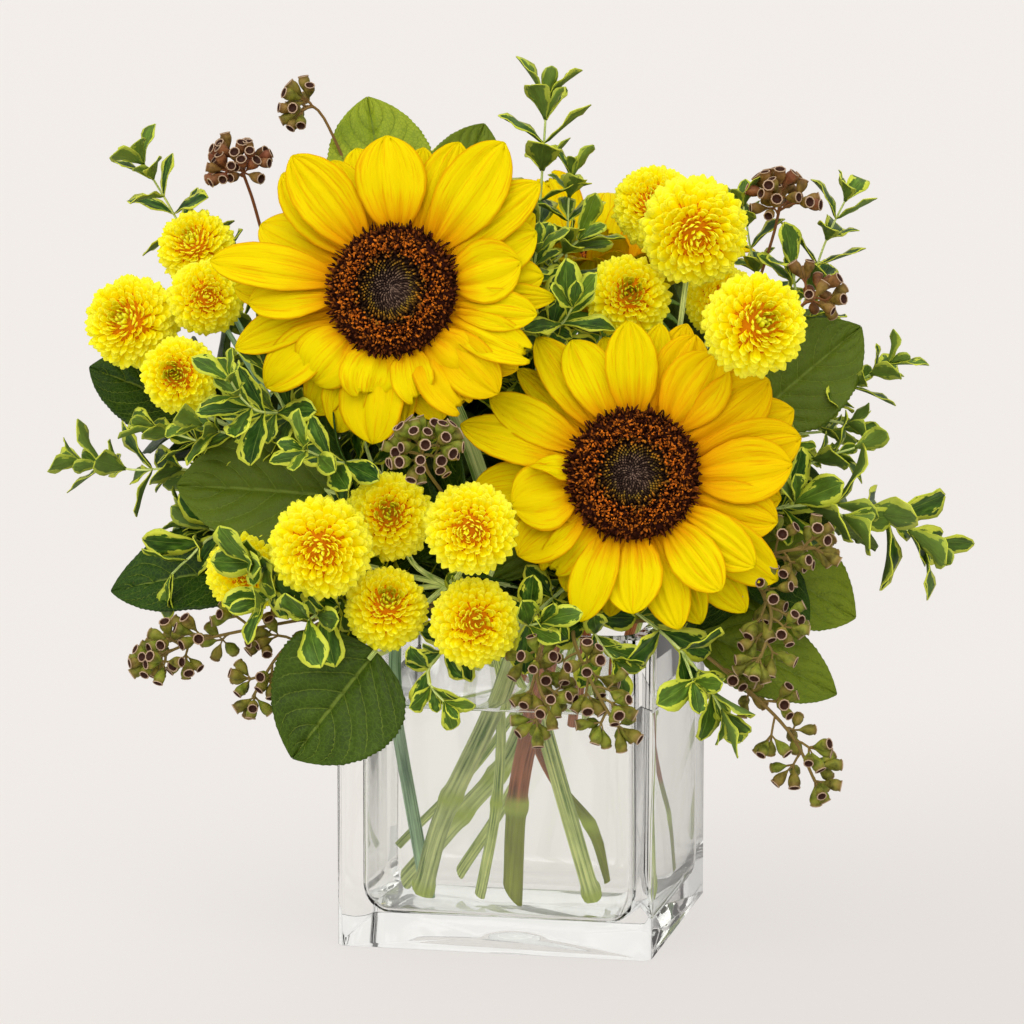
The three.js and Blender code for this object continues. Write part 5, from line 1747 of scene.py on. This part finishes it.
def broad_branch(plant, leaf, plain, finishes, number):
    """A branch with the table's large leaves, and plainer leaves that fill the room inside."""
    rng = np.random.default_rng(2100 + number)
    heap = Heap()
    trunk, lines = shoot_lines(plant, 5)
    add_stalk(heap, trunk, plant, 12, 3, finish=2, lean=ACROSS - 0.5 * DEPTH, slope=1.3)
    for shape, line in zip(plant["leaves"], lines):
        add_twig(heap, line, LEAF_STALK_RADIUS, 8, 4, finish=3)
        laid = lay_blade(leaf, **broad_shape(shape), arch=0.28, curl=0.12, fold=0.14, cup=0.03, wave=0.035,
                         beat=rng.uniform(0, 6))
        heap.add(leaf, laid, rng.uniform(0, 1), shape[4], finish=0, under=1)
        inner_leaves(heap, plant, plain, line, rng)
    inner_leaves(heap, plant, plain, trunk, rng)
    piece = heap.piece("Lemon_leaf_" + plant["name"], finishes)
    hand_over(piece, "lemon_leaf", "lemon_leaf_" + plant["name"])


def inner_leaves(heap, plant, leaf, line, rng):
    """Leaves along a twig, deep in the bouquet, each as large as its room allows."""
    owner = "broad " + plant["name"]
    for i in range(1, int(line.length / INNER_PITCH)):
        spot, tangent = line.along(i * INNER_PITCH)
        sides = across_of(tangent)
        for length in INNER_LENGTHS:
            out = swung(*sides, rng.uniform(0, 2 * math.pi))
            spread = rng.uniform(0.5, 1.4)
            along = swung(tangent, out, spread)
            up = square_to(along, swung(-out, tangent, spread) + outward_of(spot))
            width = length * 0.62
            spots = blade_spots(spot, along, up, length, width, 0.4)
            if (spots[:, 2] > VASE_HEIGHT + 2).all() and room.free(spots, 1.0, owner):
                room.take(spots, 1.0, owner + " leaf")
                laid = lay_blade(leaf, spot, along, up, length, width, 0.4, 0.2, fold=0.14, wave=0.06,
                                 beat=rng.uniform(0, 6))
                heap.add(leaf, laid, rng.uniform(0, 1), 0.0, finish=0, under=1)
                break


class BOUQUET_OT_foliage(bpy.types.Operator):
    """Adds the variegated, seeded and broad-leaved branches"""
    bl_idname = "bouquet.foliage"
    bl_label = "Add Foliage"

    def execute(self, context):
        foliage = context.scene.bouquet_foliage
        fill_room()
        veins, fibres, skins = vein_effect(), fibre_effect(), stem_finishes()
        broad, plain = broad_master((26, 56)), broad_master((8, 14))
        dark = [broad_finish(veins, foliage, under) for under in (False, True)]
        mottled = [variegated_finish(veins, fibres, foliage, under) for under in (False, True)]
        small, nut = small_leaf_master(), nut_master()
        nutty = nut_finish()
        for number, plant in enumerate(SEEDED):
            seeded_branch(plant, nut, [nutty, skins["red"], skins["nut"]], number)
        for number, plant in enumerate(VARIEGATED):
            variegated_branch(plant, small, foliage.leaf_pitch / MM, [*mottled, skins["green"]], number)
        for number, plant in enumerate(LEMON_LEAF):
            broad_branch(plant, broad, plain, [*dark, skins[plant["cut"]], skins["green"]], number)
        return {"FINISHED"}


# ---------------------------------------- vase and water
RIM_ROUND = 0.0038
DIMPLE_RADIUS, DIMPLE_DEPTH = 0.042, 0.0026
WET = 0.00012  # how far the water reaches into the glass, so that no air shows between them
MENISCUS = ((0.0004, -0.0009), (0.0008, -0.0006), (0.0016, -0.0003))  # (inset, sink) from the glass inwards


def select_edges(obj, test):
    """Selects the edges whose two ends pass a test."""
    mesh = bmesh.from_edit_mesh(obj.data)
    for part in (*mesh.verts, *mesh.edges, *mesh.faces):
        part.select = False
    for edge in mesh.edges:
        edge.select = bool(test(edge.verts[0].co, edge.verts[1].co))
    mesh.select_flush_mode()
    bmesh.update_edit_mesh(obj.data)


def select_top(obj):
    """Selects the faces that look up."""
    select_by(FACES)
    mesh = bmesh.from_edit_mesh(obj.data)
    for face in mesh.faces:
        face.select = face.normal.z > 0.9
    bmesh.update_edit_mesh(obj.data)


def upright_edge(a, b):
    """Whether an edge between two places is one of a block's upright ones."""
    return abs(a.x - b.x) < CLOSE and abs(a.y - b.y) < CLOSE and abs(a.z - b.z) > 0.01


def block(name, side, low, top):
    """A square block, left in edit mode with edges to select."""
    obj = added(bpy.ops.mesh.primitive_cube_add, size=1)
    obj.name = name
    start_edit(obj)
    select_by(EDGES)
    select_all()
    bpy.ops.transform.resize(value=(side, side, top - low), center_override=(0, 0, 0))
    bpy.ops.transform.translate(value=(0, 0, (top + low) / 2))
    return obj


class BOUQUET_OT_vase(bpy.types.Operator):
    """Adds the square vase of thick glass, with rounded edges and a dimple under its foot"""
    bl_idname = "bouquet.vase"
    bl_label = "Add Vase"

    def execute(self, context):
        vase = context.scene.bouquet_vase
        tall = VASE_HEIGHT * MM
        outer = block("Glass_vase", VASE_SIDE * MM, 0, tall)
        select_edges(outer, upright_edge)
        bpy.ops.mesh.bevel(offset=vase.edge, segments=4, affect="EDGES", clamp_overlap=False)
        select_top(outer)
        bpy.ops.mesh.delete(type="FACE")
        end_edit()
        inner = cavity_shell("Cavity", vase, 0.0, tall)
        join_shells(outer, inner, tall)
        apply_modifier(outer, "BEVEL", width=RIM_ROUND, segments=5, limit_method="ANGLE",
                       angle_limit=math.radians(60))
        dimple(outer)
        outer.data.materials.append(glass_finish())
        make_active(outer)
        bpy.ops.object.shade_smooth_by_angle(angle=math.radians(50))
        hand_over(outer, "glass", "vase")
        return {"FINISHED"}


def cavity_shell(name, vase, grow, top):
    """A closed block as large as the inside of the vase, with its lower and upright edges rounded."""
    half = VASE_SIDE * MM / 2 - vase.wall + grow
    low = vase.foot - grow
    obj = block(name, 2 * half, low, top)
    select_edges(obj, lambda a, b: upright_edge(a, b) or max(a.z, b.z) < low + CLOSE)
    bpy.ops.mesh.bevel(offset=vase.inner_corner, segments=8, affect="EDGES", clamp_overlap=False)
    end_edit()
    return obj


def join_shells(outer, inner, top):
    """Joins the outside and the inside into one closed wall with a flat rim."""
    start_edit(inner)
    mesh = bmesh.from_edit_mesh(inner.data)
    bmesh.ops.delete(mesh, geom=[f for f in mesh.faces if f.normal.z > 0.9], context="FACES_ONLY")
    bmesh.update_edit_mesh(inner.data)
    select_all()
    bpy.ops.mesh.flip_normals()
    end_edit()
    make_active(outer)
    inner.select_set(True)
    bpy.ops.object.join()
    start_edit(outer)
    select_by(EDGES)
    select_edges(outer, lambda a, b: min(a.z, b.z) > top - CLOSE)
    bpy.ops.mesh.bridge_edge_loops()
    select_all()
    bpy.ops.mesh.quads_convert_to_tris()
    end_edit()


def dimple(obj):
    """A shallow round hollow under the foot."""
    cutter = added(bpy.ops.mesh.primitive_uv_sphere_add, segments=48, ring_count=24, radius=DIMPLE_RADIUS,
                   location=(0, 0, DIMPLE_DEPTH - DIMPLE_RADIUS))
    apply_modifier(obj, "BOOLEAN", operation="DIFFERENCE", object=cutter, solver="EXACT")
    bpy.data.objects.remove(cutter)


class BOUQUET_OT_water(bpy.types.Operator):
    """Adds the water, which wets the glass all round and rises a little at it"""
    bl_idname = "bouquet.water"
    bl_label = "Add Water"

    def execute(self, context):
        obj = cavity_shell("Water_in_vase", context.scene.bouquet_vase, WET, WATER_TOP * MM)
        start_edit(obj)
        select_top(obj)
        for inset, sink in MENISCUS:
            bpy.ops.mesh.inset(thickness=inset, depth=sink, use_even_offset=True)
        end_edit()
        select_by(POINTS)
        obj.data.materials.append(water_finish())
        bpy.ops.object.shade_smooth_by_angle(angle=math.radians(60))
        hand_over(obj, "water", "water")
        return {"FINISHED"}


# ---------------------------------------- stage
CAMERA_PLACE = [-5.6, -1604, 375]
CAMERA_PITCH = math.radians(7.37)
CAMERA_LENS = 140.6
CAMERA_END = 1500
FLOOR_RADIUS = 600
FLOOR_DROP = 0.0003  # the floor is this far under the vase, so that the two never share a face
FLOOR_LIGHTING = (-0.45, 0.3)  # metres from the middle between which the floor's tone changes
KEY_PATCH = ((-0.15, -1.0, 0.85), 0.68, 0.95)  # (toward, where its soft edge starts and ends)
DIM_PATCHES = (((0.1, -1, 0.1), 0.75, 0.97), ((-1, 0.25, 0.1), 0.8, 0.95), ((1, 0.25, 0.1), 0.8, 0.95))


class BOUQUET_OT_stage(bpy.types.Operator):
    """Adds the camera, the soft lights and a plain pale floor"""
    bl_idname = "bouquet.stage"
    bl_label = "Add Stage"

    def execute(self, context):
        scene = context.scene
        stage = scene.bouquet_stage
        bpy.ops.object.camera_add(location=Vector(place(CAMERA_PLACE) * MM),
                                  rotation=(math.pi / 2 - CAMERA_PITCH, 0, FRONT_TURN))
        camera = context.active_object
        camera.data.lens = CAMERA_LENS
        camera.data.clip_end = CAMERA_END
        scene.camera = camera
        floor = added(bpy.ops.mesh.primitive_circle_add, vertices=96, radius=FLOOR_RADIUS, fill_type="NGON",
                      location=(0, 0, -FLOOR_DROP))
        floor.name = "Floor"
        self.floor_finish(floor, stage)
        world = bpy.data.worlds.new("Soft studio light")
        scene.world = world
        world.use_nodes = True
        self.light_world(world.node_tree, stage)
        scene.view_settings.view_transform = "Standard"
        return {"FINISHED"}

    def mirrored(self, f):
        """1 for what is seen in a reflection: the glass keeps reflections weak, as a filter would."""
        rays = f.node("ShaderNodeLightPath").outputs
        return f.maths("SUBTRACT", rays["Is Glossy Ray"], rays["Is Transmission Ray"], clamp=True)

    def floor_finish(self, floor, stage):
        """A pale floor, lit from below as on a light table, so that it takes only a faint shadow."""
        f = Finish("Pale floor", 0.8, Specular_IOR_Level=0.05)
        near, far = (*stage.floor_near, 1), (*stage.floor_far, 1)
        # Painted light: the floor is lighter toward the back and the left and darker in front, as the light
        # falls on it.
        spread = f.toward(f.own_place(), DEPTH - 1.2 * ACROSS)
        colour = f.mix(f.between(spread, *FLOOR_LIGHTING), near, far)
        weaker = f.times(self.mirrored(f), 0.6)
        f.glow(f.mix(weaker, colour, (0.1, 0.1, 0.1, 1)), stage.floor_glow)
        tone = f.mix(1.0, colour, (stage.floor_shade,) * 3 + (1,), "MULTIPLY")
        floor.data.materials.append(f.paint(tone))

    def light_world(self, tree, stage):
        """Even light with a large soft lamp at the upper left, and the floor's own tone in the distance."""
        f = Finish.__new__(Finish)
        f.tree = tree
        way = f.node("ShaderNodeTexCoord").outputs["Generated"]

        def patch(toward, low, high):
            return f.between(f.toward(way, unit(place(toward))), low, high)

        lamp = f.times(patch(*KEY_PATCH), stage.key)
        front, left, right = (patch(*dim) for dim in DIM_PATCHES)
        dim = f.maths("MAXIMUM", f.maths("MAXIMUM", front, left), right)
        even = f.inverse(f.times(dim, 0.45))
        strength = f.plus(f.times(even, stage.sky), lamp)
        strength = f.times(strength, f.maths("MULTIPLY_ADD", self.mirrored(f), -0.4, 1.0))
        seen = f.node("ShaderNodeLightPath").outputs["Is Camera Ray"]
        daylight = {"Color": (1, 0.985, 0.965, 1), "Strength": strength}
        light = f.node("ShaderNodeBackground", daylight).outputs[0]
        far = tree.nodes["Background"]
        far.inputs["Color"].default_value = (*stage.floor_far, 1)
        mixed = f.node("ShaderNodeMixShader", {0: seen, 1: light, 2: far.outputs[0]}).outputs[0]
        tree.links.new(mixed, tree.nodes["World Output"].inputs["Surface"])


# ---------------------------------------- panel and registration
OPERATORS = (BOUQUET_OT_stage, BOUQUET_OT_vase, BOUQUET_OT_water, BOUQUET_OT_sunflowers, BOUQUET_OT_buttons,
             BOUQUET_OT_foliage)
SETTINGS = {
    "bouquet_flowers": FlowerSettings, "bouquet_foliage": FoliageSettings, "bouquet_vase": VaseSettings,
    "bouquet_stage": StageSettings,
}


class BOUQUET_PT_panel(bpy.types.Panel):
    """Lists the pieces of the bouquet and their settings"""
    bl_idname = "BOUQUET_PT_panel"
    bl_label = "Sunflowers in a Vase"
    bl_space_type = "VIEW_3D"
    bl_region_type = "UI"
    bl_category = "Bouquet"

    def draw(self, context):
        for operator in OPERATORS:
            self.layout.operator(operator.bl_idname)
        for name, group in SETTINGS.items():
            box = self.layout.box()
            for key in group.__annotations__:
                box.prop(getattr(context.scene, name), key)


def register():
    for group in SETTINGS.values():
        bpy.utils.register_class(group)
    for operator in OPERATORS:
        bpy.utils.register_class(operator)
    bpy.utils.register_class(BOUQUET_PT_panel)
    for name, group in SETTINGS.items():
        setattr(bpy.types.Scene, name, bpy.props.PointerProperty(type=group))


def unregister():
    for name in SETTINGS:
        delattr(bpy.types.Scene, name)
    bpy.utils.unregister_class(BOUQUET_PT_panel)
    for operator in reversed(OPERATORS):
        bpy.utils.unregister_class(operator)
    for group in SETTINGS.values():
        bpy.utils.unregister_class(group)


def main():
    register()
    bpy.ops.bouquet.stage()
    bpy.ops.bouquet.vase()
    bpy.ops.bouquet.water()
    bpy.ops.bouquet.sunflowers()
    bpy.ops.bouquet.buttons()
    bpy.ops.bouquet.foliage()


if __name__ == "__main__":
    main()
